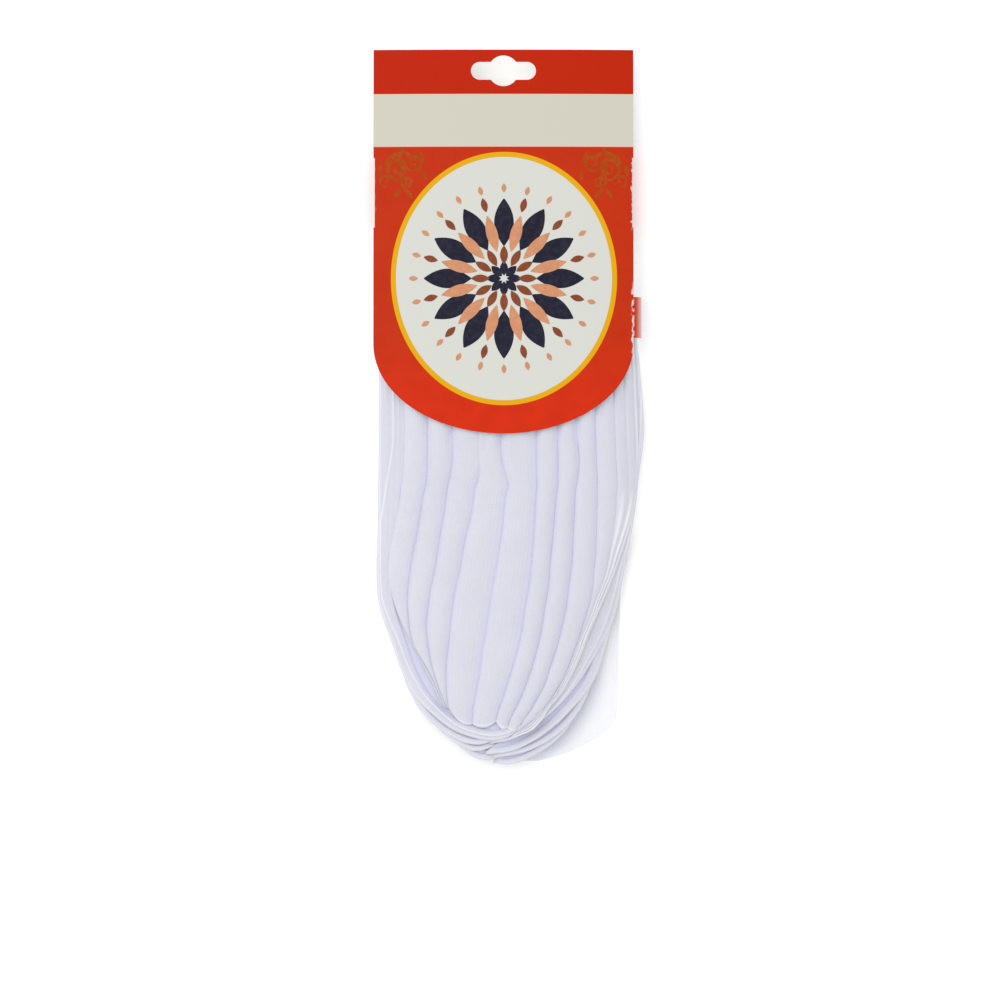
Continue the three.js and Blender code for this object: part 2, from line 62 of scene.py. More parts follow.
# %% Sizes in millimetres
CARD_WIDTH = 127.0
CARD_THICK = 0.6
CARD_TAB_OUT = 4.0
TURBAN_LENGTH = 295.5
TURBAN_WIDTH = CARD_WIDTH * 1.031
CARD_MIDDLE = -0.017 * TURBAN_WIDTH
CARD_TOP = 1.182 * TURBAN_LENGTH
CLOTH_WALL = 1.5
CLOTH_GAP = 0.4
LAYER_PITCH = CLOTH_WALL + CLOTH_GAP
CREST_HEIGHT = CLOTH_WALL + 7.4 + 5 * LAYER_PITCH
shift_x = CARD_MIDDLE - CARD_WIDTH / 2 - card_low.x * 1000
shift_y = CARD_TOP - card_high.y * 1000
print("offsets in mm", round(shift_x, 3), round(shift_y, 3))

# %% [markdown]
# Every long line of the turban is drawn through a few measured points. A cubic through them,
# with its slope at each point taken from the two neighbours, gives the slack curve that cloth
# falls into, and it can be evaluated for thousands of points at once.

# %% Smooth curves
def cubic(knots, values):
    knots = np.asarray(knots, float)
    values = np.asarray(values, float)
    index = np.arange(len(knots))
    before = np.maximum(index - 1, 0)
    after = np.minimum(index + 1, len(knots) - 1)
    slopes = (values[after] - values[before]) / (knots[after] - knots[before])

    def curve(at):
        at = np.asarray(at, float)
        i = np.clip(np.searchsorted(knots, at) - 1, 0, len(knots) - 2)
        span = knots[i + 1] - knots[i]
        t = np.clip((at - knots[i]) / span, 0, 1)
        u = 1 - t
        return (values[i] * u * u * (1 + 2 * t) + values[i + 1] * t * t * (3 - 2 * t)
                + span * (slopes[i] * t * u * u - slopes[i + 1] * t * t * u))
    return curve


def smooth(low, high, at):
    t = np.clip((np.asarray(at, float) - low) / (high - low), 0, 1)
    return t * t * (3 - 2 * t)


def bell(at, middle, width):
    return np.exp(-((at - middle) / width) ** 2)


print("halfway up a smooth step", float(smooth(0, 10, 5)))

# %% [markdown]
# The crown lies on a swell: high in the middle and falling away to both sides. One function
# gives the height of that swell anywhere in the plan, and each layer of cloth is placed above
# or below it, so that the layers stay in order.

# %% Body of the turban
BODY = np.array([
    # along, left side, right side, crest, edge
    [0.000, -0.172, 0.090, 0.99, 0.92], [0.024, -0.321, 0.276, 1.00, 0.90],
    [0.049, -0.463, 0.463, 1.00, 0.86], [0.107, -0.716, 0.612, 1.00, 0.72],
    [0.173, -0.828, 0.716, 0.96, 0.55], [0.272, -0.970, 0.851, 0.92, 0.43],
    [0.371, -0.978, 0.925, 0.89, 0.43], [0.470, -0.976, 0.980, 0.86, 0.43],
    [0.553, -0.966, 1.015, 0.81, 0.43], [0.702, -0.975, 0.980, 0.68, 0.42],
    [0.887, -0.960, 0.896, 0.55, 0.41], [0.965, -0.955, 0.896, 0.47, 0.41],
    [1.000, -0.950, 0.896, 0.40, 0.39]])
body_left, body_right, body_crest, body_edge = [
    cubic(BODY[:, 0], BODY[:, k]) for k in range(1, 5)]


def across(side):
    return side * TURBAN_WIDTH / 2


def base_height(x, y):
    along = y / TURBAN_LENGTH
    left, right = across(body_left(along)), across(body_right(along))
    side = np.minimum(np.abs((2 * x - left - right) / (right - left)), 1)
    return CREST_HEIGHT * (body_crest(along)
                           + (body_edge(along) - body_crest(along)) * side ** 4)


print("height in mm halfway along", round(float(base_height(0.0, TURBAN_LENGTH / 2)), 1))

# %% [markdown]
# A sheet of cloth is two grids of points, its upper and its lower face, joined round the rim.
# Building the mesh from grids keeps the step even along each pleat, which a cloth simulation
# of a folded, pressed retail piece would not, and it makes every run the same.

# %% Closed sheets
def new_mesh(name, points, faces, smooth_faces=True):
    mesh = bpy.data.meshes.new(name)
    moved = (np.asarray(points, float) - [shift_x, shift_y, 0]) / 1000
    mesh.from_pydata(moved.tolist(), [], [list(map(int, f)) for f in faces])
    mesh.validate()
    mesh.polygons.foreach_set("use_smooth", [smooth_faces] * len(mesh.polygons))
    mesh.update()
    piece = bpy.data.objects.new(name, mesh)
    bpy.context.scene.collection.objects.link(piece)
    return piece


def grid_faces(rows, columns):
    i, j = np.meshgrid(np.arange(rows - 1), np.arange(columns - 1), indexing="ij")
    over = (i * columns + j).ravel()
    under = over + rows * columns
    top = np.stack([over, over + 1, over + columns + 1, over + columns], 1)
    low = np.stack([under, under + columns, under + columns + 1, under + 1], 1)
    total = rows * columns
    rim = np.concatenate([
        np.arange(columns), np.arange(1, rows) * columns + columns - 1,
        (rows - 1) * columns + np.arange(columns - 2, -1, -1),
        np.arange(rows - 2, 0, -1) * columns])
    ahead = np.roll(rim, -1)
    wall = np.stack([ahead, rim, rim + total, ahead + total], 1)
    return np.concatenate([top, low, wall])


def sheet_mesh(name, upper, lower, **tones):
    rows, columns = upper.shape[:2]
    points = np.concatenate([upper.reshape(-1, 3), lower.reshape(-1, 3)])
    faces = grid_faces(rows, columns)
    step_i = upper[rows // 2 + 1, columns // 2] - upper[rows // 2, columns // 2]
    step_j = upper[rows // 2, columns // 2 + 1] - upper[rows // 2, columns // 2]
    if np.cross(step_j, step_i)[2] < 0:
        faces = faces[:, ::-1]
    piece = new_mesh(name, points, faces)
    for tone, values in tones.items():
        above, below = values if isinstance(values, tuple) else (values, values)
        both = np.concatenate([above.ravel(), below.ravel()]).astype(np.float32)
        layer = piece.data.attributes.new(tone, "FLOAT", "POINT")
        layer.data.foreach_set("value", both)
    print(name, len(faces) * 2, "triangles")
    return piece


# %% [markdown]
# The crown is one panel with eleven pleats. Each pleat runs between two valley lines, which
# start side by side under the card, drift to the left and then sweep round into the twist.
# Its cross-section is a flat-topped roll that drops steeply into the valley, as pressed
# jersey does, and its end is a rounded fingertip.

# %% Valley lines of the crown
STATIONS = [0.999, 0.536, 0.437, 0.338, 0.272, 0.206, 0.140, 0.098]
VALLEYS = np.array([
    # side at the eight stations, turn side and along, tip side and along, bulge of the tip
    [-0.791, -0.776, -0.813, -0.892, -0.858, -0.731, -0.578, -0.49, -0.486, 0.098,
     -0.485, 0.098, 0],
    [-0.619, -0.597, -0.634, -0.716, -0.746, -0.713, -0.56, -0.478, -0.47, 0.097,
     -0.468, 0.097, 0],
    [-0.44, -0.418, -0.463, -0.53, -0.59, -0.6, -0.535, -0.463, -0.455, 0.095,
     -0.452, 0.095, 0],
    [-0.246, -0.224, -0.254, -0.351, -0.403, -0.44, -0.459, -0.445, -0.438, 0.093,
     -0.436, 0.092, 0.01],
    [-0.052, -0.037, -0.007, -0.082, -0.127, -0.172, -0.22, -0.254, -0.262, 0.08,
     -0.266, 0.067, 0.008],
    [0.164, 0.216, 0.209, 0.179, 0.142, 0.09, 0.007, -0.056, -0.078, 0.084,
     -0.09, 0.071, 0.007],
    [0.313, 0.373, 0.358, 0.321, 0.284, 0.235, 0.149, 0.067, 0.02, 0.077,
     -0.007, 0.06, 0.006],
    [0.455, 0.515, 0.5, 0.478, 0.44, 0.381, 0.284, 0.19, 0.12, 0.075, 0.07, 0.058, 0.003],
    [0.597, 0.653, 0.664, 0.65, 0.615, 0.522, 0.406, 0.284, 0.152, 0.068, 0.052, 0.054, 0.001],
    [0.716, 0.802, 0.81, 0.75, 0.655, 0.541, 0.423, 0.298, 0.164, 0.065, 0.035, 0.05, 0],
    [0.784, 0.886, 0.892, 0.782, 0.675, 0.56, 0.44, 0.311, 0.176, 0.062, 0.018, 0.046, 0],
    [0.836, 0.955, 0.942, 0.813, 0.695, 0.579, 0.457, 0.324, 0.188, 0.059, 0.002, 0.042, 0]])


def valley_line(row, at):
    sides = np.concatenate([row[:8], [row[8], row[10]]])
    alongs = np.array(STATIONS + [row[9], row[11]])
    return (cubic(np.arange(10), across(sides))(at),
            cubic(np.arange(10), alongs * TURBAN_LENGTH)(at))


middle_x, middle_y = valley_line(VALLEYS[5], np.linspace(0, 9, 60))
print(len(VALLEYS), "valley lines, the sixth ends at", round(float(middle_x[-1]), 1),
      round(float(middle_y[-1]), 1))

# %% [markdown]
# A pressed pleat isn't a symmetric roll. Its left side is the folded edge, which turns sharply
# and catches the light, and its right side sinks slowly until it slips under the next one.
# Some valleys are pulled flat by the stretch: the fourth is faint near the card, and the last
# two run out into one broad pleat. Each valley therefore has a strength along its length.

# %% Pleat section and valley strength
PLEAT_HEIGHT = 2.0
PLEAT_STEPS = 15
BROAD_FIRST = 8
FULL_WIDTH = 10.0
BROAD_WIDTH = 12.0
SMALL_RELIEF = 0.16
LEAST_WALL = 0.15
EDGE_WALL = 0.12
VALLEY_STRENGTH = {
    # valley: its strength at places along the line, 0 at the card and 9 at the tip
    0: [[0, 1], [9, 1]],
    3: [[0, 0.6], [0.9, 0.3], [1.15, 0.35], [1.35, 1], [9, 1]],
    9: [[0, 0.7], [2.0, 0.55], [3.4, 0.28], [5, 0.22], [7, 0.3], [9, 0.5]],
    10: [[0, 0.5], [1.1, 0.4], [2.0, 0.2], [4, 0.12], [7, 0.2], [9, 0.4]]}
KINKS = {
    # valley: sideways shift in mm, where along the line, and over what length
    2: [[0.5, 1.10, 0.25], [-0.5, 1.5, 0.3]],
    3: [[0.8, 1.25, 0.25], [-0.6, 1.75, 0.3], [0.6, 3.3, 0.4]],
    4: [[-1.2, 1.02, 0.25], [1.1, 1.50, 0.28], [-0.7, 2.1, 0.3], [0.6, 3.1, 0.3]],
    7: [[-0.9, 0.86, 0.14], [0.7, 1.15, 0.2]],
    8: [[0.6, 1.3, 0.3]]}
DENTS = [
    # x, y, half width, half length and depth in mm
    [-11.3, 157.0, 2.0, 4.5, 0.9], [-27.5, 160.0, 1.8, 5.0, 0.6], [33.9, 165.0, 1.8, 5.0, 1.0],
    [-50.9, 171.0, 2.4, 6.0, 0.7], [3.2, 156.0, 1.8, 4.0, 0.6], [24.5, 163.0, 1.6, 4.0, 0.5]]


def valley_strength(valley, at):
    rows = np.array(VALLEY_STRENGTH.get(valley, VALLEY_STRENGTH[0]), float)
    return np.interp(at, rows[:, 0], rows[:, 1])


def kinked_line(valley):
    x, y = valley_line(VALLEYS[valley], crown_at)
    for shift, middle, width in KINKS.get(valley, []):
        x = x + shift * bell(crown_at, middle, width)
    rng = np.random.default_rng(70 + valley)
    phase = rng.uniform(0, 2 * math.pi, 3)
    wander = sum(np.sin(crown_at * k + p) for k, p in zip((2.3, 3.9, 6.1), phase)) / 3
    return x + 0.28 * wander * np.clip((8 - crown_at) / 2, 0, 1), y


def dented(x, y):
    return sum(deep * bell(x, at_x, wide) * bell(y, at_y, long)
               for at_x, at_y, wide, long, deep in DENTS)


def pleat_section(share):
    left = 1 - np.clip(share / 0.42, 0, 1)
    right = np.clip((share - 0.42) / 0.58, 0, 1)
    return np.where(share < 0.42, (1 - left ** 2.9) ** 0.82, (1 - right ** 2.2) ** 0.92)


crown_at = np.concatenate([
    np.linspace(0, 0.55, 24, endpoint=False), np.linspace(0.55, 1, 24, endpoint=False),
    np.linspace(1, 7, 150, endpoint=False), np.linspace(7, 8, 26, endpoint=False),
    8 + np.sin(np.linspace(0, math.pi / 2, 30))])
print("pleat section", np.round(pleat_section(np.linspace(0, 1, 9)), 2))


# %% [markdown]
# The crown's mesh walks along every valley line at once. For each share of the way from one
# valley to the next it adds one line of points, lifted by the section above, so a pleat costs
# fifteen lines. Small swells and creases along the pleat, drawn from a fixed seed, keep two
# neighbours from looking alike, and three values go to the material with every point: how much
# painted shade it gets down in a valley or dent, how much painted highlight it gets along a rim,
# and its place across the knit.

# %% Lines and widths of the pleats
pleat_lines = [kinked_line(k) for k in range(len(VALLEYS))]
pleat_widths = [np.hypot(b[0] - a[0], b[1] - a[1])
                for a, b in zip(pleat_lines, pleat_lines[1:])]
PLEATS = len(pleat_widths)
broad_width = sum(pleat_widths[BROAD_FIRST:])
tip_share = np.clip(crown_at - 8, 0, 1)
tip_round = np.sqrt(1 - np.clip((crown_at - 8.5) / 0.5, 0, 1) ** 2)
print(PLEATS, "pleats, wide in mm by the card", np.round([w[45] for w in pleat_widths], 1))


# %% Height of a pleat
def pleat_reach(pleat, f, vary):
    is_broad = pleat >= BROAD_FIRST
    width = broad_width / 3 if is_broad else pleat_widths[pleat]
    tall = PLEAT_HEIGHT * np.minimum(width / FULL_WIDTH, 1) * (1 - 0.4 * tip_share ** 2)
    if not is_broad:
        return tall * (1 + vary * 4 * f * (1 - f))
    over_all = (sum(pleat_widths[BROAD_FIRST:pleat]) + pleat_widths[pleat] * f) / broad_width
    wide = PLEAT_HEIGHT * np.minimum(broad_width / BROAD_WIDTH, 1) * pleat_section(over_all)
    return tall + (wide - tall) * (1 - valley_strength(9, crown_at))


def pleat_character(pleat, rng):
    vary = 0 if pleat >= BROAD_FIRST else 0.08 * rng.standard_normal()
    phase = rng.uniform(0, 2 * math.pi, 6)
    waves = sum(np.sin(crown_at * k * 1.9 + p) for k, p in zip((1, 2.1, 3.7), phase)) / 3
    seam = 0.5 + 0.16 * np.sin(crown_at * 0.9 + phase[3])
    return vary, waves, seam


print("highest pleat in mm", round(max(float(pleat_reach(k, 0.5, 0).max())
                                       for k in range(PLEATS)), 2))


# %% One line of points
def crown_line(pleat, f, vary, waves, seam):
    (x0, y0), (x1, y1) = pleat_lines[pleat], pleat_lines[pleat + 1]
    bulge = VALLEYS[pleat, 12] * TURBAN_LENGTH * tip_share * 4 * f * (1 - f)
    x, y = x0 + (x1 - x0) * f, y0 + (y1 - y0) * f - bulge
    sunk = 1 - pleat_section(f)
    strength = valley_strength(pleat if f < 0.5 else pleat + 1, crown_at)
    rise = pleat_reach(pleat, f, vary) * (1 - strength * sunk)
    crease = SMALL_RELIEF * np.exp(-((f - seam) / 0.1) ** 2) * np.maximum(waves, 0)
    swell = SMALL_RELIEF * waves * math.sin(math.pi * f)
    dent = np.minimum(dented(x, y), rise * 0.6)
    base = base_height(x, y)
    cloth = rise + CLOTH_WALL - 0.35 * strength * sunk
    top = base + cloth * (EDGE_WALL + (1 - EDGE_WALL) * tip_round) + swell + crease - dent
    under = np.minimum(base + (rise * 0.75 - dent) * tip_round, top - LEAST_WALL)
    # Painted shade: how far this point is tinted darker and bluer, down in a valley or a dent.
    deep = np.clip(strength * sunk + dent * 0.5, 0, 1)
    return np.stack([x, y, top], -1), np.stack([x, y, under], -1), deep


# %% Painted highlights on rims and tips
# Painted highlight: how strongly the last two pleats are turned nearly white, and over what width.
RIM_HIGHLIGHT = {9: (0.7, 0.2), 10: (1.0, 0.22)}
TIP_RIMS = range(3, 8)


def crown_highlight(pleat, f):
    most, wide = RIM_HIGHLIGHT.get(pleat, (0, 1))
    # Painted highlight along the middle of the last two pleats and round the tips of the middle
    # pleats.
    at_tip = 0.5 * bell(tip_share, 0.8, 0.1) if pleat in TIP_RIMS else 0
    return most * bell(f, 0.5, wide) * smooth(1.6, 2.4, crown_at) + at_tip


print("tight rims on pleats", sorted(RIM_HIGHLIGHT), "and on the tips of", list(TIP_RIMS))


# %% Crown
def crown():
    rng = np.random.default_rng(11)
    shares = (1 - np.cos(np.linspace(0, math.pi, PLEAT_STEPS + 1))) / 2
    upper, lower, depth, highlights, wale = [], [], [], [], []
    for pleat in range(PLEATS):
        character = pleat_character(pleat, rng)
        for f in shares if pleat == PLEATS - 1 else shares[:-1]:
            above, below, deep = crown_line(pleat, f, *character)
            upper.append(above)
            lower.append(below)
            depth.append(deep)
            highlights.append(crown_highlight(pleat, f))
            wale.append(pleat * 12 + f * 11 + 0 * deep)
    return sheet_mesh("pleated_crown", np.stack(upper, 1), np.stack(lower, 1),
                      fold_depth=np.stack(depth, 1), stretch=np.stack(highlights, 1),
                      wale=np.stack(wale, 1))


crown_piece = crown()

# %% [markdown]
# Round the pleats lie the folds that the crown was drawn over. Each is a doubled strip of
# jersey whose outer edge is a fold, so its edge is round and its face sinks a little behind
# it. The strips overlap like roof slates, each one a layer lower than the one inside it.

# %% Edges of the fold strips
LIP_EDGE = [
    [-0.946, 0.967, 0.15], [-0.962, 0.880, 0.18], [-0.968, 0.700, 0.21], [-0.968, 0.530, 0.23],
    [-0.976, 0.400, 0.21], [-0.974, 0.275, 0.2], [-0.873, 0.202, 0.23], [-0.746, 0.130, 0.24],
    [-0.580, 0.086, 0.21], [-0.358, 0.052, 0.17], [-0.060, 0.041, 0.15], [0.239, 0.079, 0.15],
    [0.450, 0.135, 0.15], [0.638, 0.231, 0.15], [0.804, 0.318, 0.15], [0.932, 0.410, 0.15],
    [0.974, 0.487, 0.15], [0.968, 0.600, 0.15], [0.905, 0.800, 0.14], [0.858, 0.967, 0.12]]
RIGHT_EDGES = [
    [[-0.135, 0.034, 0.05], [0.052, 0.043, 0.11], [0.261, 0.074, 0.15], [0.448, 0.113, 0.18],
     [0.627, 0.169, 0.2], [0.784, 0.236, 0.21], [0.876, 0.325, 0.2], [0.946, 0.410, 0.18],
     [0.980, 0.475, 0.18], [1.018, 0.550, 0.18], [0.993, 0.640, 0.17], [0.930, 0.780, 0.15],
     [0.893, 0.880, 0.14], [0.890, 0.967, 0.12]],
    [[-0.165, 0.016, 0.05], [0.052, 0.024, 0.11], [0.276, 0.051, 0.17], [0.463, 0.088, 0.2],
     [0.642, 0.138, 0.23], [0.746, 0.206, 0.21], [0.843, 0.292, 0.17], [0.895, 0.340, 0.14]],
    [[-0.125, 0.009, 0.06], [0.149, 0.022, 0.14], [0.373, 0.050, 0.17], [0.537, 0.090, 0.18],
     [0.660, 0.153, 0.2], [0.760, 0.225, 0.15]],
    [[-0.110, 0.002, 0.06], [0.022, 0.000, 0.12], [0.224, 0.018, 0.15], [0.410, 0.050, 0.17],
     [0.560, 0.103, 0.17], [0.612, 0.131, 0.14]]]
LEFT_EDGES = [
    [[-0.828, 0.181, 0.12], [-0.739, 0.121, 0.15], [-0.604, 0.076, 0.15],
     [-0.425, 0.046, 0.14], [-0.246, 0.033, 0.12], [-0.070, 0.041, 0.08]],
    [[-0.679, 0.100, 0.11], [-0.522, 0.059, 0.12], [-0.388, 0.035, 0.12],
     [-0.246, 0.022, 0.11], [-0.085, 0.031, 0.06]],
    [[-0.500, 0.059, 0.11], [-0.366, 0.030, 0.12], [-0.246, 0.011, 0.12],
     [-0.095, 0.006, 0.09]]]
print(1 + len(RIGHT_EDGES) + len(LEFT_EDGES), "strips, the lip's edge has", len(LIP_EDGE), "points")

# %% [markdown]
# How a strip looks depends on how much of it can be seen. Where a wide part shows, it swells
# into a soft roll; where only its edge shows, it is a thin lip. On the left the outer strip
# also carries the line of a second fold, a small step with a bright rim. The table gives, for
# each point of the strip's edge, the width that shows and how far in that line runs.

# %% What shows of each strip
SHOWN = {
    # width that shows, where the second line runs, and how deep the strip sinks behind its roll
    "lip_band": ([12, 13, 15, 16, 13.5, 8.4, 7.2, 7.4, 5.8, 6, 5.5, 3, 2.4, 2.2, 2.2, 2.2,
                  2.4, 3, 3, 3],
                 [7, 7, 7, 6.8, 1.2, 1.9, 3.3, 4.2, 3.6, 2.6, 2.2, 1.2, 0, 0, 0, 0, 0, 0, 0, 0],
                 [0, 0, 0, 0, 0, 0.3, 1, 1, 1, 1, 1, 1, 0.5, 0.3, 0.2, 0.2, 0.1, 0, 0, 0]),
    "right_slate_0": ([4, 4, 5, 7, 9.5, 11, 7.5, 4.5, 3.5, 4.5, 4.5, 4, 4, 4],
                      [0, 0, 0, 1.2, 2.2, 3.0, 2.0, 0, 1.4, 1.6, 0, 0, 0, 0],
                      [1, 1, 1, 1, 1, 0.8, 0.6, 0.3, 0.2, 0.2, 0.2, 0, 0, 0]),
    "right_slate_1": ([3, 3.5, 3.8, 4.2, 4.8, 5, 3.5, 3], [0] * 8, [1] * 8),
    "right_slate_2": ([3, 3, 3.4, 3.8, 4.2, 4], [0] * 6, [1] * 6),
    "right_slate_3": ([3, 3, 3.2, 3.2, 3, 3], [0] * 6, [1] * 6),
    "left_slate_2": ([2, 3, 3.6, 3.6, 3.4, 3], [0] * 6, [1] * 6),
    "left_slate_3": ([2, 3, 3.2, 3.2, 3], [0] * 5, [1] * 5),
    "left_slate_4": ([2.5, 3, 3.2, 3], [0] * 4, [1] * 4)}
print("widest part that shows in mm", max(max(row[0]) for row in SHOWN.values()))

# %% [markdown]
# The strip builder follows the edge, works out the inward direction at each step, and lays the
# cloth from the edge inwards: first a round rim, then the roll that shows, then a plain run
# that hides under the next layer. At both ends the strip thins out and tucks itself away.

# %% Path of a strip
ALONG_STEP = 0.8
EDGE_RADIUS = 1.0
END_LENGTH = 2.5
TUCK_LENGTH = 6.0
STRIP_STEPS = np.concatenate([np.linspace(0, 1, 14, endpoint=False) ** 1.5 * 0.2,
                              np.linspace(0.2, 1, 30)])


def strip_path(rows):
    rows = np.array(rows)
    xs, ys = across(rows[:, 0]), rows[:, 1] * TURBAN_LENGTH
    knots = np.concatenate([[0], np.cumsum(np.hypot(np.diff(xs), np.diff(ys)))])
    length = knots[-1]
    at = np.linspace(0, length, max(int(length / ALONG_STEP), 30))
    edge_x, edge_y = cubic(knots, xs), cubic(knots, ys)
    reach = across(cubic(knots, rows[:, 2])(at))
    dx = edge_x(np.minimum(at + 1, length)) - edge_x(np.maximum(at - 1, 0))
    dy = edge_y(np.minimum(at + 1, length)) - edge_y(np.maximum(at - 1, 0))
    inward = np.stack([-dy, dx], -1) / np.hypot(dx, dy)[:, None]
    return knots, at, reach, np.stack([edge_x(at), edge_y(at)], -1), inward


print("the lip's edge in mm", round(float(strip_path(LIP_EDGE)[0][-1]), 1))


# %% Section of a strip
def strip_rise(deep, shown, line_in, sunk, ridge, wave, offset):
    q = np.clip(deep / shown, 0, 1)
    soft = (1 - np.abs(2 * q ** 0.8 - 1) ** 2.4) ** 0.8
    full = (1 - (1 - np.clip(q / 0.35, 0, 1)) ** 2.2) * (1 - q ** 9)
    roll = ridge * (full + (soft - full) * sunk) * (1 + 0.2 * wave)
    streaks = 0.12 * np.sin(deep * 2.1 + 1.3 * wave + offset) * smooth(0, 1.5, deep)
    step = 0.6 * (smooth(-0.35, 0.35, deep - line_in) - 1)
    rim = 0.25 * bell(deep, line_in + 0.45, 0.45)
    has_line = smooth(0.3, 1.0, line_in)
    return roll + streaks * (q < 1) * np.minimum(shown / 5, 1) + has_line * (step + rim)


# Painted shade where a strip runs in under the layer above it and in the groove beside its second
# line; painted highlight on that line's rim and along the strip's outer edge.
def strip_tones(deep, shown, line_in, sunk, ends):
    has_line = smooth(0.3, 1.0, line_in)
    near = smooth(0.45 + 0.4 * (1 - sunk), 1.0, deep / shown) * ends
    groove_shade = has_line * bell(deep, line_in - 0.5, 0.5) * 0.6
    depth = np.clip(near * (0.35 + 0.6 * sunk) + groove_shade, 0, 1)
    line_highlight = has_line * bell(deep, line_in + 0.4, 0.3) * 0.45
    return depth, np.clip(line_highlight + 0.25 * bell(deep, 0.9, 0.5) * ends, 0, 1)


print("rise of a 10 mm roll at its middle",
      round(float(strip_rise(5.0, 10.0, 0.0, 0.0, 1.9, 0.0, 0.0)), 2))


# %% Strip
def strip(name, rows, layer, ridge, seed):
    knots, at, reach, edge, inward = strip_path(rows)
    shown, line_in, sunk = [np.interp(at, knots, values) for values in SHOWN[name]]
    phase = np.random.default_rng(seed).uniform(0, 2 * math.pi, 8)
    wave = sum(np.sin(at / w + p) for w, p in zip((9, 15, 26, 41), phase)) / 4
    from_end = np.minimum(at, at[-1] - at)
    ends = smooth(0, 7, from_end)
    round_end = np.sqrt(1 - (1 - np.clip(from_end / END_LENGTH, 0, 1)) ** 2)
    reach = reach * (0.5 + 0.5 * smooth(0, TUCK_LENGTH, from_end))
    drop = CLOTH_GAP + (layer - 1) * LAYER_PITCH + CLOTH_WALL
    upper, lower, depth, highlights, wale = [], [], [], [], []
    for w in STRIP_STEPS:
        deep = w * reach
        x, y = (edge + inward * deep[:, None]).T
        floor = base_height(x, y) - drop
        turn = np.sqrt(1 - (1 - np.clip(deep / EDGE_RADIUS, 0, 1)) ** 2)
        rise = strip_rise(deep, shown, line_in, sunk, ridge, wave, phase[5]) * ends
        top = floor + (CLOTH_WALL * (0.5 + 0.5 * turn) + rise) * (0.3 + 0.7 * round_end)
        top = np.maximum(top, floor + 0.45)
        under = np.minimum(floor + CLOTH_WALL * 0.5 * (1 - turn), top - EDGE_WALL)
        upper.append(np.stack([x, y, top], -1))
        lower.append(np.stack([x, y, under], -1))
        shade_here, highlight_here = strip_tones(deep, shown, line_in, sunk, ends)
        depth.append(shade_here)
        highlights.append(highlight_here)
        wale.append(deep * 1.1)
    return sheet_mesh(name, np.stack(upper, 1), np.stack(lower, 1),
                      fold_depth=np.stack(depth, 1), stretch=np.stack(highlights, 1),
                      wale=np.stack(wale, 1))


# %% All strips
STRIPS = [
    # piece, node, edge, layer, ridge, seed
    ("lip_band", "lip_fold", LIP_EDGE, 1, 1.9, 21),
    ("right_slate_0", "right_fold_0", RIGHT_EDGES[0], 2, 1.7, 22),
    ("right_slate_1", "right_fold_1", RIGHT_EDGES[1], 3, 1.3, 23),
    ("right_slate_2", "right_fold_2", RIGHT_EDGES[2], 4, 1.1, 24),
    ("right_slate_3", "right_fold_3", RIGHT_EDGES[3], 5, 0.9, 25),
    ("left_slate_2", "left_fold_2", LEFT_EDGES[0], 2, 1.1, 26),
    ("left_slate_3", "left_fold_3", LEFT_EDGES[1], 3, 1.0, 27),
    ("left_slate_4", "left_fold_4", LEFT_EDGES[2], 4, 0.9, 28)]
strip_pieces = {node: strip(name, rows, layer, ridge, seed)
                for name, node, rows, layer, ridge, seed in STRIPS}

# %% [markdown]
# The back of the turban is a plain panel that lies flat on the floor. Its long sides roll up
# and over to meet the folds, which is the turn of the tube, and at the lower right it looks
# out from under the folds as a smooth corner.

# %% Outline of the back
BACK = np.array([
    # along, left, right, left roll, right roll
    [0.004, -0.060, 0.230, 0, 0], [0.019, -0.220, 0.463, 0, 0], [0.036, -0.345, 0.612, 0, 0],
    [0.054, -0.470, 0.724, 0, 0], [0.074, -0.575, 0.805, 0, 0], [0.107, -0.690, 0.818, 0.3, 0],
    [0.173, -0.815, 0.828, 0.9, 0], [0.240, -0.910, 0.840, 1, 0], [0.300, -0.955, 0.855, 1, 0],
    [0.350, -0.965, 0.895, 1, 0], [0.400, -0.968, 0.932, 1, 0.9], [0.470, -0.966, 0.968, 1, 1],
    [0.553, -0.952, 0.998, 1, 1], [0.702, -0.960, 0.962, 1, 1], [0.887, -0.948, 0.882, 1, 1],
    [1.000, -0.935, 0.882, 1, 1]])
CURL_WIDTH = 9.0
HEM_WIDTH = 0.8
SHADE_REACH = 13.0
UNDER_CREASE = 0.6
SLEEVE_TOP = CARD_TOP - 53
SLEEVE_LENGTH = 34.0
SLEEVE_STEP = [SLEEVE_TOP - SLEEVE_LENGTH - 15, SLEEVE_TOP - SLEEVE_LENGTH - 2]
print("sleeve from", round(SLEEVE_TOP, 1), "to", round(SLEEVE_TOP - SLEEVE_LENGTH, 1), "mm")


# %% Shade and creases of the back
def corner_shade(x, y):
    # Painted shadow: the back panel is tinted darker and bluer close to the lowest right fold strip.
    edge = np.array(RIGHT_EDGES[3])
    at = np.linspace(0, len(edge) - 1, 60)
    rows = np.arange(len(edge))
    near = np.full(x.shape, 1e9)
    for px, py in zip(across(np.interp(at, rows, edge[:, 0])),
                      np.interp(at, rows, edge[:, 1]) * TURBAN_LENGTH):
        near = np.minimum(near, np.hypot(x - px, y - py))
    return np.clip(1.1 - near / SHADE_REACH, 0, 1) ** 1.4


def under_crease(x, y, from_side):
    fan = np.arctan2(x - across(0.1), y + 30)
    drawn = np.maximum(np.sin(26 * fan + 1.5 * np.sin(y / 60)), 0) ** 2
    fading = smooth(3, 14, from_side) * smooth(5, 40, y) * (1 - 0.7 * smooth(150, 260, y))
    return UNDER_CREASE * drawn * fading


print("shade right under the fold", round(float(corner_shade(np.array([0.0]), np.array([2.0]))[0]), 2))


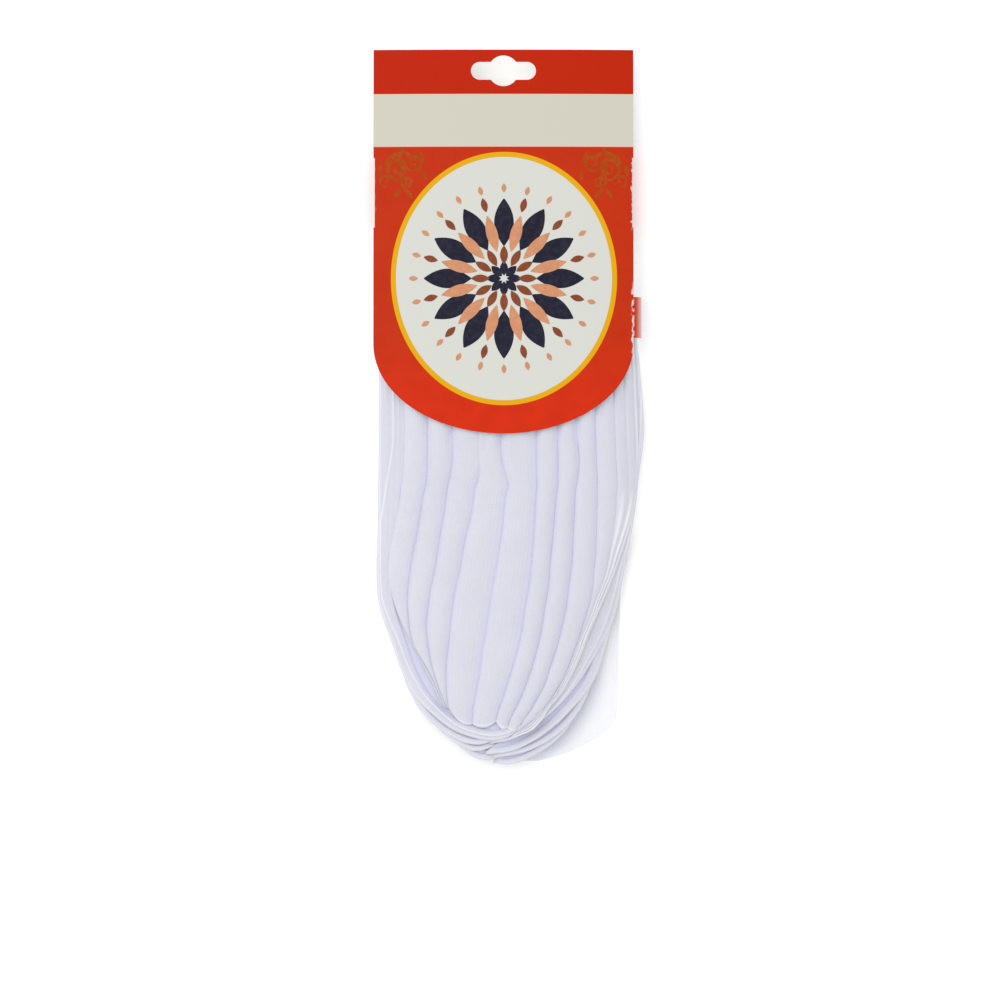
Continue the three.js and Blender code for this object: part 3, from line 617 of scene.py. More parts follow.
# %% Back panel
def back_panel():
    left, right, left_roll, right_roll = [cubic(BACK[:, 0], BACK[:, k]) for k in range(1, 5)]
    along = np.concatenate([np.linspace(0.004, 0.14, 60, endpoint=False),
                            np.linspace(0.14, 0.93, 120, endpoint=False),
                            np.linspace(0.93, 1, 30)])
    y = along * TURBAN_LENGTH
    x0, x1 = across(left(along)), across(right(along))
    share = (1 - np.cos(np.linspace(0, math.pi, 90))) / 2
    x = x0[:, None] + (x1 - x0)[:, None] * share
    y = y[:, None] + 0 * x
    on_left = x - x0[:, None] < x1[:, None] - x
    from_side = np.minimum(x - x0[:, None], x1[:, None] - x)
    roll = np.clip(np.where(on_left, left_roll(along)[:, None], right_roll(along)[:, None]), 0, 1)
    layers = np.where(on_left & (along[:, None] >= 0.19), 1, 2)
    side = np.maximum(1 - from_side / CURL_WIDTH, 0) * roll
    end = np.maximum(1 - (TURBAN_LENGTH - y) / CURL_WIDTH, 0)
    base = base_height(x, y)
    ceiling = np.where(end > side, base, base - layers * LAYER_PITCH) - CLOTH_GAP
    lift = smooth(SLEEVE_STEP[0], SLEEVE_STEP[1], y) * (CARD_THICK + CLOTH_GAP)
    rise = np.maximum(ceiling - lift - CLOTH_WALL, 0) * np.maximum(side, end) ** 2
    edge = np.minimum(from_side, (y - y.min()) * 1.6)
    hem = np.sqrt(1 - (1 - np.clip(edge / HEM_WIDTH, 0, 1)) ** 2)
    thin = 0.45 + 0.55 * np.maximum(smooth(0, 9, edge), np.clip(roll, 0, 1))
    wall = CLOTH_WALL * thin
    top = lift + rise + wall * (0.45 + 0.55 * hem)
    low = lift + rise + wall * 0.45 * (1 - hem) * np.clip(roll, 0, 1)
    low = low + under_crease(x, y, from_side)
    return sheet_mesh("plain_back", np.stack([x, y, top], -1), np.stack([x, y, low], -1),
                      fold_depth=(corner_shade(x, y), 0 * x), stretch=0 * x, wale=x)


back_piece = back_panel()

# %% [markdown]
# The header card is a thin board. Its outline, with the curved lower edge and the hanging
# slot, is filled with a triangle net, and the net is then bent over the pleats. Two flaps
# are folded down and round the back, and a small tab curls over the right side.

# %% Card outline
CARD_STRAIGHT = 144.0
CARD_CURVE = 43.7
CARD_ARCH = 3.0
SLOT_WIDTH, SLOT_HEIGHT, SLOT_BULGE, SLOT_DOWN = 31.75, 8.75, 15.0, 10.4
SLEEVE_HALF = CARD_WIDTH / 2 - CARD_THICK
SLEEVE_BEND = 1.1
SLEEVE_CORNER = 3.0
TAB_FROM, TAB_TO = 121.0, 141.0
TAB_HANGS = 7.0
TAB_ROOT = 1.0
NET_STEP = 1.5


def over_crown(along):
    return CREST_HEIGHT * body_crest(along) + 2.6 + CLOTH_WALL + 0.8


CARD_SLOPE = float((over_crown(0.56) - over_crown(0.887)) / (0.327 * TURBAN_LENGTH))


def card_underside(x, y):
    bend = CARD_ARCH * np.abs((x - CARD_MIDDLE) / (CARD_WIDTH / 2)) ** 2.5
    return over_crown(0.887) + CARD_SLOPE * (0.887 * TURBAN_LENGTH - y) - bend


def card_outline():
    half = CARD_WIDTH / 2
    low = CARD_TOP - CARD_STRAIGHT
    sleeve_end = SLEEVE_TOP - SLEEVE_LENGTH
    side = [[half, low], [half, sleeve_end], [SLEEVE_HALF, sleeve_end],
            [SLEEVE_HALF, SLEEVE_TOP], [half, SLEEVE_TOP], [half, CARD_TOP]]
    turn = np.linspace(math.pi, 2 * math.pi, 90)[1:-1]
    arc = np.stack([half * np.cos(turn), low + CARD_CURVE * np.sin(turn)], 1).tolist()
    points = [[-x, y] for x, y in side[::-1]] + arc + side
    return np.array(points)


def slot_outline():
    straight = (SLOT_WIDTH - SLOT_HEIGHT) / 2
    r, big = SLOT_HEIGHT / 2, SLOT_BULGE / 2
    meet = math.sqrt(big * big - r * r)
    points = []
    for turn in np.linspace(-math.pi / 2, math.pi / 2, 25):
        points.append([straight + r * math.cos(turn), r * math.sin(turn)])
    start = math.asin(r / big)
    for turn in np.linspace(start, math.pi - start, 31):
        points.append([big * math.cos(turn), big * math.sin(turn)])
    for turn in np.linspace(math.pi / 2, 3 * math.pi / 2, 25):
        points.append([-straight + r * math.cos(turn), r * math.sin(turn)])
    for turn in np.linspace(math.pi + start, 2 * math.pi - start, 31):
        points.append([big * math.cos(turn), big * math.sin(turn)])
    return np.array(points) + [0, CARD_TOP - SLOT_DOWN]


print("slot", len(slot_outline()), "points, card rises", round(CARD_SLOPE * 100, 1), "mm in 100")

# %% [markdown]
# To bend the board it needs points all over, not just on its outline. A constrained Delaunay
# net fills the outline with a regular grid of points and keeps every edge of the outline and
# of the slot exactly where it was drawn. A flat polygon with a hole couldn't be bent at all.

# %% Points inside an outline
def inside(polygon, points):
    found = np.zeros(len(points), bool)
    ahead = np.roll(polygon, -1, axis=0)
    for (ax, ay), (bx, by) in zip(polygon, ahead):
        if ay == by:
            continue
        crosses = (ay > points[:, 1]) != (by > points[:, 1])
        at = ax + (points[:, 1] - ay) / (by - ay) * (bx - ax)
        found ^= crosses & (points[:, 0] < at)
    return found


def divided(polygon, step):
    points = []
    for a, b in zip(polygon, np.roll(polygon, -1, axis=0)):
        parts = max(int(np.hypot(*(b - a)) / step), 1)
        points.extend(a + (b - a) * k / parts for k in range(parts))
    return np.array(points)


print("slot rim in 1.5 mm steps", len(divided(slot_outline(), NET_STEP)), "points")


# %% Net inside an outline
def filled(outline, holes, step):
    loops = [divided(outline, step)] + [divided(hole, step) for hole in holes]
    low, high = outline.min(0), outline.max(0)
    xs = np.arange(low[0] + step / 2, high[0], step)
    ys = np.arange(low[1] + step / 2, high[1], step)
    net = np.stack(np.meshgrid(xs, ys), -1).reshape(-1, 2)
    keep = inside(outline, net)
    for hole in holes:
        keep &= ~inside(hole, net)
    rims = np.concatenate(loops)
    near = np.ones(len(net), bool)
    for start in range(0, len(rims), 200):
        part = rims[start:start + 200]
        gap = np.abs(net[:, None, :] - part[None]).max(-1).min(1)
        near &= gap > step * 0.4
    net = net[keep & near]
    points = np.concatenate(loops + [net])
    edges, first = [], 0
    for loop in loops:
        edges += [(first + k, first + (k + 1) % len(loop)) for k in range(len(loop))]
        first += len(loop)
    found = delaunay_2d_cdt([Vector(p) for p in points], edges, [], 0, 1e-6)
    points = np.array([tuple(p) for p in found[0]])
    faces = np.array([list(f) for f in found[2] if len(f) == 3])
    middles = points[faces].mean(1)
    keep = inside(outline, middles)
    for hole in holes:
        keep &= ~inside(hole, middles)
    faces = faces[keep]
    a, b, c = points[faces[:, 0]], points[faces[:, 1]], points[faces[:, 2]]
    turned = (b - a)[:, 0] * (c - a)[:, 1] - (b - a)[:, 1] * (c - a)[:, 0] < 0
    faces[turned] = faces[turned][:, ::-1]
    return points, faces


slot_net = filled(slot_outline(), [], NET_STEP)
print("a net over the slot alone has", len(slot_net[1]), "triangles")


# %% Board of some thickness
def slab(points, faces, lower, upper):
    count = len(points)
    halves = np.concatenate([faces[:, [0, 1]], faces[:, [1, 2]], faces[:, [2, 0]]])
    known = set(map(tuple, halves.tolist()))
    rim = np.array([e for e in halves.tolist() if (e[1], e[0]) not in known])
    a, b = rim[:, 0], rim[:, 1]
    walls = np.concatenate([np.stack([b, a, a + count], 1), np.stack([b, a + count, b + count], 1)])
    top = np.column_stack([points, upper(points[:, 0], points[:, 1])])
    low = np.column_stack([points, lower(points[:, 0], points[:, 1])])
    return np.concatenate([top, low]), np.concatenate([faces, faces[:, ::-1] + count, walls])


# %% [markdown]
# The card has three parts that a printer would cut from one blank. The board is the filled
# outline, given its thickness. The sleeve is a closed band round the back of the turban, and
# the tab is a short strip that curls down over the right side. Every point also keeps its
# place on the unfolded blank, in the layer "card_place", so the print runs on over a fold as
# it does on real board, and the faces that were never printed are marked for the bare board.

# %% Folded parts of the card
def folded_ring(path, ys, start, closes):
    outer = np.array([[[x + CARD_MIDDLE, y, z] for x, z in path(y, 0)] for y in ys])
    inner = np.array([[[x + CARD_MIDDLE, y, z] for x, z in path(y, CARD_THICK)] for y in ys])
    steps = np.hypot(np.diff(outer[..., 0]), np.diff(outer[..., 2]))
    gone = np.concatenate([np.zeros((len(ys), 1)), np.cumsum(steps, 1)], 1)
    if closes:
        gone = np.minimum(gone, gone[:, -1:] - gone)
    place = np.stack([start + gone, CARD_TOP - outer[..., 1]], -1).reshape(-1, 2)
    points = np.concatenate([outer.reshape(-1, 3), inner.reshape(-1, 3)])
    printed = (outer.shape[0] - 1) * (outer.shape[1] - 1)
    return points, grid_faces(*outer.shape[:2]), np.concatenate([place, place]), printed


def sleeve_path(y, inset):
    half = SLEEVE_HALF - inset
    top = float(card_underside(CARD_MIDDLE + SLEEVE_HALF, y)) + CARD_THICK - inset
    corner, bend = SLEEVE_CORNER - inset, SLEEVE_BEND - inset
    right = [[half - bend + bend * math.sin(t), top - bend + bend * math.cos(t)]
             for t in np.linspace(0, math.pi / 2, 9)]
    right += [[half, z] for z in np.linspace(top - bend, inset + corner, 10)[1:-1]]
    right += [[half - corner + corner * math.cos(t), inset + corner - corner * math.sin(t)]
              for t in np.linspace(0, math.pi / 2, 10)]
    right += [[x, inset] for x in np.linspace(half - corner, 0, 30)[1:]]
    return right + [[-x, z] for x, z in right[:-1][::-1]]


def tab_path(y, inset):
    edge = CARD_WIDTH / 2
    z = float(card_underside(CARD_MIDDLE + edge, y)) + CARD_THICK
    big = CARD_TAB_OUT - inset
    root = edge - TAB_ROOT
    start = float(card_underside(CARD_MIDDLE + root, y)) + CARD_THICK - inset
    curl = [[edge + big * math.sin(t), z - inset - big * (1 - math.cos(t))]
            for t in np.linspace(0, math.pi / 2, 16)]
    drop = np.linspace(z - CARD_TAB_OUT, z - CARD_THICK - TAB_HANGS, 6)[1:]
    return [[root, start]] + curl + [[edge + big, d] for d in drop]


print("sleeve path", len(sleeve_path(SLEEVE_TOP, 0)), "points, tab path",
      len(tab_path(CARD_TOP - TAB_FROM, 0)))


# %% Header card
def joined(parts):
    points, faces, places, unprinted, first = [], [], [], [], 0
    for some_points, some_faces, some_places, printed in parts:
        points.append(some_points)
        places.append(some_places)
        faces += (some_faces + first).tolist()
        unprinted += [0] * printed + [1] * (len(some_faces) - printed)
        first += len(some_points)
    return np.concatenate(points), faces, np.concatenate(places), unprinted


def header_card():
    outline, hole = card_outline() + [CARD_MIDDLE, 0], slot_outline() + [CARD_MIDDLE, 0]
    flat_points, flat_faces = filled(outline, [hole], NET_STEP)
    board_points, board_faces = slab(flat_points, flat_faces, card_underside,
                                     lambda x, y: card_underside(x, y) + CARD_THICK)
    flat = np.stack([board_points[:, 0] - CARD_MIDDLE, CARD_TOP - board_points[:, 1]], 1)
    strap_y = np.linspace(SLEEVE_TOP, SLEEVE_TOP - SLEEVE_LENGTH, 20)
    strap = folded_ring(sleeve_path, strap_y, SLEEVE_HALF - SLEEVE_BEND, True)
    tab_y = np.linspace(CARD_TOP - TAB_FROM, CARD_TOP - TAB_TO, 14)
    tab = folded_ring(tab_path, tab_y, CARD_WIDTH / 2 - TAB_ROOT, False)
    board = (board_points, board_faces, flat, len(flat_faces))
    points, faces, places, unprinted = joined([board, strap, tab])
    piece = new_mesh("printed_header_card", points, faces, smooth_faces=False)
    piece.data.polygons.foreach_set("material_index", unprinted)
    place = piece.data.uv_layers.new(name="card_place")
    index = np.zeros(len(piece.data.loops), int)
    piece.data.loops.foreach_get("vertex_index", index)
    place.data.foreach_set("uv", (places[index] / 100).ravel().astype(np.float32))
    print("card", len(faces), "faces")
    return piece


card_piece = header_card()

# %% [markdown]
# Shader helpers come next. A node group is a small shader of its own with named sockets; it
# is built once and placed in every material that needs the effect.

# %% Groups and sums
def new_group(name, inputs, outputs):
    tree = bpy.data.node_groups.new(name, "ShaderNodeTree")
    for title, kind, value in inputs:
        socket = tree.interface.new_socket(name=title, in_out="INPUT", socket_type=kind)
        socket.default_value = value
    for title, kind in outputs:
        tree.interface.new_socket(name=title, in_out="OUTPUT", socket_type=kind)
    return tree, tree.nodes.new("NodeGroupInput"), tree.nodes.new("NodeGroupOutput")


def math_node(tree, operation, first, second=None, clamp=False):
    node = tree.nodes.new("ShaderNodeMath")
    node.operation = operation
    node.use_clamp = clamp
    for socket, value in zip(node.inputs, (first, second)):
        if value is None:
            continue
        if isinstance(value, (int, float)):
            socket.default_value = value
        else:
            tree.links.new(value, socket)
    return node.outputs[0]


# %% Ramps, blends, noise and colours
def ramp(tree, value, low, high):
    node = tree.nodes.new("ShaderNodeMapRange")
    node.interpolation_type = "SMOOTHSTEP"
    tree.links.new(value, node.inputs["Value"])
    node.inputs["From Min"].default_value = low
    node.inputs["From Max"].default_value = high
    return node.outputs["Result"]


def blend(tree, factor, first, second):
    node = tree.nodes.new("ShaderNodeMix")
    node.data_type = "RGBA"
    for socket, value in ((node.inputs[0], factor), (node.inputs[6], first),
                          (node.inputs[7], second)):
        if isinstance(value, (tuple, float)):
            socket.default_value = value
        else:
            tree.links.new(value, socket)
    return node.outputs[2]


def noise(tree, vector, scale, detail=2.0):
    node = tree.nodes.new("ShaderNodeTexNoise")
    tree.links.new(vector, node.inputs["Vector"])
    node.inputs["Scale"].default_value = scale
    node.inputs["Detail"].default_value = detail
    return node.outputs["Fac"]


def rgb(r, g, b):
    def linear(v):
        v = v / 255
        return v / 12.92 if v <= 0.04045 else ((v + 0.055) / 1.055) ** 2.4
    return (linear(r), linear(g), linear(b), 1.0)


print("the card's red in linear light", np.round(rgb(190, 49, 14)[:3], 3))


# %% [markdown]
# Jersey is knitted in fine rows across the turban, and its loops also line up in fine columns
# along it. The group below makes both from the place on the cloth, slightly uneven and with
# the loops' own grain, as one height and one mask of slow change in tone. The columns follow
# each pleat, because the mesh carries its own measure across the cloth in "wale".

# %% Knit group
def knit_group():
    tree, given, made = new_group(
        "jersey_knit", [("Vector", "NodeSocketVector", (0, 0, 0)),
                        ("Wale", "NodeSocketFloat", 0.0),
                        ("Rows per metre", "NodeSocketFloat", 1150.0)],
        [("Height", "NodeSocketFloat"), ("Tone", "NodeSocketFloat")])
    vector = given.outputs["Vector"]
    split = tree.nodes.new("ShaderNodeSeparateXYZ")
    tree.links.new(vector, split.inputs[0])
    drift = math_node(tree, "MULTIPLY", noise(tree, vector, 60.0), 0.004)
    place = math_node(tree, "ADD", split.outputs["Y"], drift)
    turns = math_node(tree, "MULTIPLY", place, given.outputs["Rows per metre"])
    rows = math_node(tree, "SINE", math_node(tree, "MULTIPLY", turns, 2 * math.pi))
    patchy = ramp(tree, noise(tree, vector, 90.0), 0.35, 0.65)
    rows = math_node(tree, "MULTIPLY", rows, patchy)
    columns = math_node(tree, "SINE", math_node(tree, "MULTIPLY", given.outputs["Wale"], 5.2))
    grain = noise(tree, vector, 1500.0)
    height = math_node(tree, "ADD", math_node(tree, "MULTIPLY", rows, 0.35), grain)
    height = math_node(tree, "ADD", height, math_node(tree, "MULTIPLY", columns, 0.3))
    tree.links.new(height, made.inputs["Height"])
    cloudy = math_node(tree, "MULTIPLY", noise(tree, vector, 35.0, 4.0), 0.8)
    lined = math_node(tree, "MULTIPLY", math_node(tree, "ADD", rows, columns), 0.1)
    tree.links.new(math_node(tree, "ADD", cloudy, lined), made.inputs["Tone"])
    return tree


jersey_knit = knit_group()
print(jersey_knit.name, "has", len(jersey_knit.nodes), "nodes")

# %% [markdown]
# The white cloth is faintly lavender. Painted shade makes it darker and bluer down in the folds,
# and a painted highlight makes it nearly white along fold rims and pleat tips. Light also wanders
# a little way inside the knit, so a small amount of scattering under the surface keeps the
# valleys soft instead of black.

# %% Jersey material
HIGHLIGHT_WHITE = (248, 249, 252)


def mesh_value(tree, name):
    node = tree.nodes.new("ShaderNodeAttribute")
    node.attribute_name = name
    return node.outputs["Fac"]


def jersey(name, light, shade, valley):
    material = bpy.data.materials.new(name)
    material.use_nodes = True
    tree = material.node_tree
    surface = tree.nodes["Principled BSDF"]
    place = tree.nodes.new("ShaderNodeTexCoord")
    knit = tree.nodes.new("ShaderNodeGroup")
    knit.node_tree = jersey_knit
    tree.links.new(place.outputs["Object"], knit.inputs["Vector"])
    tree.links.new(mesh_value(tree, "wale"), knit.inputs["Wale"])
    colour = blend(tree, knit.outputs["Tone"], light, shade)
    # Painted shade: down in the folds the colour turns to the darker, bluer valley colour.
    colour = blend(tree, ramp(tree, mesh_value(tree, "fold_depth"), 0.2, 1.0), colour, valley)
    # Painted highlight: along rims and pleat tips the colour turns nearly white.
    colour = blend(tree, mesh_value(tree, "stretch"), colour, rgb(*HIGHLIGHT_WHITE))
    tree.links.new(colour, surface.inputs["Base Color"])
    surface.inputs["Roughness"].default_value = 0.88
    surface.inputs["Subsurface Weight"].default_value = 0.3
    surface.inputs["Subsurface Radius"].default_value = (1.0, 1.0, 1.1)
    surface.inputs["Subsurface Scale"].default_value = 0.0016
    surface.inputs["Sheen Weight"].default_value = 0.15
    surface.inputs["Sheen Roughness"].default_value = 0.5
    bump = tree.nodes.new("ShaderNodeBump")
    bump.inputs["Strength"].default_value = 0.5
    bump.inputs["Distance"].default_value = 0.0002
    tree.links.new(knit.outputs["Height"], bump.inputs["Height"])
    tree.links.new(bump.outputs["Normal"], surface.inputs["Normal"])
    return material


# Each jersey's third colour is the painted shade that its folds are tinted with.
crown_jersey = jersey("crown_jersey", rgb(214, 215, 224), rgb(205, 207, 219), rgb(211, 212, 231))
fold_jersey = jersey("fold_jersey", rgb(212, 213, 222), rgb(204, 206, 218), rgb(208, 209, 229))
plain_jersey = jersey("plain_jersey", rgb(245, 246, 249), rgb(239, 241, 247), rgb(231, 234, 245))
print("jersey in", [m.name for m in (crown_jersey, fold_jersey, plain_jersey)])

# %% [markdown]
# The card's print is worked out from the place on the blank, in tenths of a metre from the
# middle of its top edge. Plain bands come from the height alone, and the oval and its ring
# from one distance that is measured with a separate radius each way. Each zone goes out of
# the group as a mask, so that the material can choose the inks.

# %% Print zones
def printed_zones():
    tree, given, made = new_group(
        "card_print_zones", [("Place", "NodeSocketVector", (0, 0, 0))],
        [("Band", "NodeSocketFloat"), ("Line", "NodeSocketFloat"), ("Oval", "NodeSocketFloat"),
         ("Ring", "NodeSocketFloat"), ("Down", "NodeSocketFloat")])
    split = tree.nodes.new("ShaderNodeSeparateXYZ")
    tree.links.new(given.outputs["Place"], split.inputs[0])
    u, v = split.outputs["X"], split.outputs["Y"]
    upper = ramp(tree, v, 0.2165, 0.2185)
    lower = ramp(tree, v, 0.4735, 0.4755)
    tree.links.new(math_node(tree, "SUBTRACT", upper, lower), made.inputs["Band"])
    ruled = math_node(tree, "ADD", *[math_node(tree, "SUBTRACT", ramp(tree, v, at, at + 0.002),
                                               ramp(tree, v, at + 0.004, at + 0.006))
                                     for at in (0.216, 0.471)])
    tree.links.new(math_node(tree, "MULTIPLY", ruled, 0.6), made.inputs["Line"])

    def oval(wide, tall):
        x = math_node(tree, "DIVIDE", math_node(tree, "SUBTRACT", u, 0.0025), wide)
        y = math_node(tree, "DIVIDE", math_node(tree, "SUBTRACT", v, 1.12), tall)
        far = math_node(tree, "SQRT", math_node(
            tree, "ADD", math_node(tree, "MULTIPLY", x, x), math_node(tree, "MULTIPLY", y, y)))
        return math_node(tree, "SUBTRACT", 1.0, ramp(tree, far, 0.998, 1.002))
    outer = oval(0.552, 0.619)
    inner = oval(0.5276, 0.5946)
    tree.links.new(inner, made.inputs["Oval"])
    tree.links.new(math_node(tree, "SUBTRACT", outer, inner), made.inputs["Ring"])
    tree.links.new(v, made.inputs["Down"])
    return tree


card_print_zones = printed_zones()
print(card_print_zones.name, "gives", [s.name for s in card_print_zones.interface.items_tree
                                       if s.in_out == "OUTPUT"])

# %% [markdown]
# Print on board is never quite even, so one small group gives a soft mottle at any scale, and
# all the inks and the bare board share it. A second group finds where the ink has cracked off:
# only at the folded sides beside the sleeve and by the tab, in flakes drawn out along the
# fold. Where the tab turns down over the side its ink has paled as well.

# %% Mottle
def mottle_group():
    tree, given, made = new_group(
        "print_mottle", [("Place", "NodeSocketVector", (0, 0, 0)),
                         ("Scale", "NodeSocketFloat", 9.0)],
        [("Mottle", "NodeSocketFloat")])
    fleck = tree.nodes.new("ShaderNodeTexNoise")
    fleck.inputs["Detail"].default_value = 5.0
    tree.links.new(given.outputs["Place"], fleck.inputs["Vector"])
    tree.links.new(given.outputs["Scale"], fleck.inputs["Scale"])
    tree.links.new(ramp(tree, fleck.outputs["Fac"], 0.35, 0.75), made.inputs["Mottle"])
    return tree


print_mottle = mottle_group()
print(print_mottle.name, "has", len(print_mottle.nodes), "nodes")


# %% Cracked ink
def crack_group():
    tree, given, made = new_group(
        "ink_cracks", [("Place", "NodeSocketVector", (0, 0, 0)),
                       ("Amount", "NodeSocketFloat", 0.5)],
        [("Mask", "NodeSocketFloat")])
    place = given.outputs["Place"]
    split = tree.nodes.new("ShaderNodeSeparateXYZ")
    tree.links.new(place, split.inputs[0])
    u, v = split.outputs["X"], split.outputs["Y"]
    outward = math_node(tree, "ABSOLUTE", u)
    beyond = math_node(tree, "SUBTRACT", 1.0, ramp(tree, outward, 0.637, 0.652))
    at_fold = math_node(tree, "MULTIPLY", ramp(tree, outward, 0.606, 0.630), beyond)
    along = math_node(tree, "MULTIPLY", ramp(tree, v, 0.52, 0.545),
                      math_node(tree, "SUBTRACT", 1.0, ramp(tree, v, 0.85, 0.89)))
    by_tab = math_node(tree, "MULTIPLY", ramp(tree, v, 1.12, 1.2),
                       math_node(tree, "SUBTRACT", 1.0, ramp(tree, v, 1.44, 1.55)))
    inner_side = math_node(tree, "SUBTRACT", 1.0, ramp(tree, u, 0.635, 0.642))
    by_tab = math_node(tree, "MULTIPLY", by_tab, ramp(tree, u, 0.55, 0.6))
    by_tab = math_node(tree, "MULTIPLY", by_tab, inner_side)
    paled = math_node(tree, "MULTIPLY", ramp(tree, u, 0.64, 0.69), ramp(tree, v, 1.1, 1.2))
    reach = math_node(tree, "ADD", along, by_tab, clamp=True)
    drawn = tree.nodes.new("ShaderNodeVectorMath")
    drawn.operation = "MULTIPLY"
    drawn.inputs[1].default_value = (1.0, 0.4, 1.0)
    tree.links.new(place, drawn.inputs[0])
    flakes = math_node(tree, "MULTIPLY", noise(tree, drawn.outputs[0], 75.0, 8.0),
                       math_node(tree, "ADD", at_fold, 0.35))
    lost = ramp(tree, flakes, 0.64, 0.76)
    mask = math_node(tree, "MULTIPLY", math_node(tree, "MULTIPLY", lost, reach), at_fold)
    one_side = ramp(tree, u, -0.9, 0.3)
    mask = math_node(tree, "MULTIPLY", mask, one_side)
    mask = math_node(tree, "MAXIMUM", mask, math_node(tree, "MULTIPLY", paled, 0.85))
    tree.links.new(math_node(tree, "MULTIPLY", mask, given.outputs["Amount"]),
                   made.inputs["Mask"])
    return tree


ink_cracks = crack_group()
print(ink_cracks.name, "has", len(ink_cracks.nodes), "nodes")

# %% [markdown]
# Coated board has a low, broad gloss and almost no depth, which a rough surface with a thin
# coat gives. The outside takes its inks from the zones, from the top down a little lighter and
# warmer as in the photo, and the inside is bare pale board with nothing but the mottle.

# %% Board finish
def board_base(name):
    material = bpy.data.materials.new(name)
    material.use_nodes = True
    tree = material.node_tree
    surface = tree.nodes["Principled BSDF"]
    surface.inputs["Roughness"].default_value = 0.42
    surface.inputs["Specular IOR Level"].default_value = 0.05
    surface.inputs["Coat Weight"].default_value = 0.03
    surface.inputs["Coat Roughness"].default_value = 0.3
    return material, tree, surface


def mottle(tree, place, scale):
    node = tree.nodes.new("ShaderNodeGroup")
    node.node_tree = print_mottle
    node.inputs["Scale"].default_value = scale
    tree.links.new(place, node.inputs["Place"])
    return node.outputs["Mottle"]


# %% Printed and bare board
def card_material():
    material, tree, surface = board_base("printed_board")
    place = tree.nodes.new("ShaderNodeUVMap")
    place.uv_map = "card_place"
    zones = tree.nodes.new("ShaderNodeGroup")
    zones.node_tree = card_print_zones
    cracks = tree.nodes.new("ShaderNodeGroup")
    cracks.node_tree = ink_cracks
    cracks.inputs["Amount"].default_value = 0.85
    tree.links.new(place.outputs["UV"], zones.inputs["Place"])
    tree.links.new(place.outputs["UV"], cracks.inputs["Place"])
    mottled = mottle(tree, place.outputs["UV"], 9.0)
    red = blend(tree, ramp(tree, zones.outputs["Down"], 0.2, 0.55), rgb(186, 36, 4),
                rgb(190, 49, 14))
    red = blend(tree, ramp(tree, zones.outputs["Down"], 1.3, 1.8), red, rgb(208, 46, 12))
    darker = blend(tree, mottled, red, rgb(181, 38, 14))
    red = blend(tree, 0.35, red, darker)
    cream = blend(tree, zones.outputs["Band"], red, rgb(203, 199, 185))
    cream = blend(tree, zones.outputs["Line"], cream, rgb(226, 196, 176))
    ringed = blend(tree, zones.outputs["Ring"], cream, rgb(221, 166, 14))
    colour = blend(tree, zones.outputs["Oval"], ringed, rgb(209, 210, 203))
    colour = blend(tree, cracks.outputs["Mask"], colour, rgb(232, 222, 214))
    tree.links.new(colour, surface.inputs["Base Color"])
    bump = tree.nodes.new("ShaderNodeBump")
    bump.inputs["Strength"].default_value = 0.12
    bump.inputs["Distance"].default_value = 0.0004
    tree.links.new(mottled, bump.inputs["Height"])
    tree.links.new(bump.outputs["Normal"], surface.inputs["Normal"])
    return material


def bare_board():
    material, tree, surface = board_base("bare_board")
    place = tree.nodes.new("ShaderNodeTexCoord")
    mottled = mottle(tree, place.outputs["Object"], 300.0)
    tree.links.new(blend(tree, mottled, rgb(226, 221, 211), rgb(214, 208, 197)),
                   surface.inputs["Base Color"])
    surface.inputs["Roughness"].default_value = 0.8
    return material


printed_board = card_material()
bare_board_inside = bare_board()
print("board in", [printed_board.name, bare_board_inside.name])

# %% [markdown]
# The card's pictures are thin layers of ink. Here each motif is a set of ribbons and leaves
# cut in the card's own plane and laid a few hundredths of a millimetre above it: scrolls of a
# browner red in the two upper corners, and a plain rosette in the oval. Cut shapes stay sharp
# at any size, where a picture file would have to be carried along.

# %% Ink shapes
def ribbon(path, widths):
    path, widths = np.asarray(path, float), np.asarray(widths, float)
    ahead = np.gradient(path, axis=0)
    ahead /= np.hypot(*ahead.T)[:, None]
    side = np.stack([-ahead[:, 1], ahead[:, 0]], 1)
    return np.stack([path + side * (widths / 2)[:, None] * k for k in (-1, -0.3, 0.3, 1)], 1)


def spiral(middle, radius, turns, start, wide, way=1):
    t = np.linspace(0, 1, 40)
    angle = start + way * turns * 2 * math.pi * t
    r = radius * (1 - 0.84 * t)
    path = np.stack([middle[0] + r * np.cos(angle), middle[1] + r * np.sin(angle)], 1)
    return ribbon(path, wide * (0.35 + 0.65 * np.sin(math.pi * (0.15 + 0.8 * t))))


def leaf(root, angle, length, wide, full=0.8):
    t = np.linspace(0, 1, 18)
    path = np.stack([root[0] + length * t * math.cos(angle),
                     root[1] + length * t * math.sin(angle)], 1)
    return ribbon(path, wide * np.sin(math.pi * np.clip(t, 0.01, 0.99)) ** full)


print("a leaf has", leaf((0, 0), 0.5, 6, 2).shape[:2], "points")


# %% Layers of ink
def ink(name, shapes, colour, lift):
    points, faces, first = [], [], 0
    for k, grid in enumerate(shapes):
        x, y = CARD_MIDDLE + grid[..., 0], CARD_TOP - grid[..., 1]
        z = card_underside(x, y) + CARD_THICK
        both = [np.stack([x, y, z + up], -1).reshape(-1, 3) for up in (lift + 0.001 * k, -0.1)]
        some = grid_faces(*grid.shape[:2])
        a, b, c = [both[0][k] for k in some[0][:3]]
        if np.cross(b - a, c - a)[2] < 0:
            some = some[:, ::-1]
        points += both
        faces += (some + first).tolist()
        first += 2 * len(both[0])
    piece = new_mesh(name, np.concatenate(points), faces, smooth_faces=False)
    material, tree, surface = board_base(name + "_ink")
    place = tree.nodes.new("ShaderNodeTexCoord")
    spots = mottle(tree, place.outputs["Object"], 420.0)
    faded = tuple(min(1.0, v * 1.12 + 0.01) for v in colour[:3]) + (1.0,)
    tree.links.new(blend(tree, spots, colour, faded), surface.inputs["Base Color"])
    piece.data.materials.append(material)
    print(name, len(shapes), "shapes")
    return piece


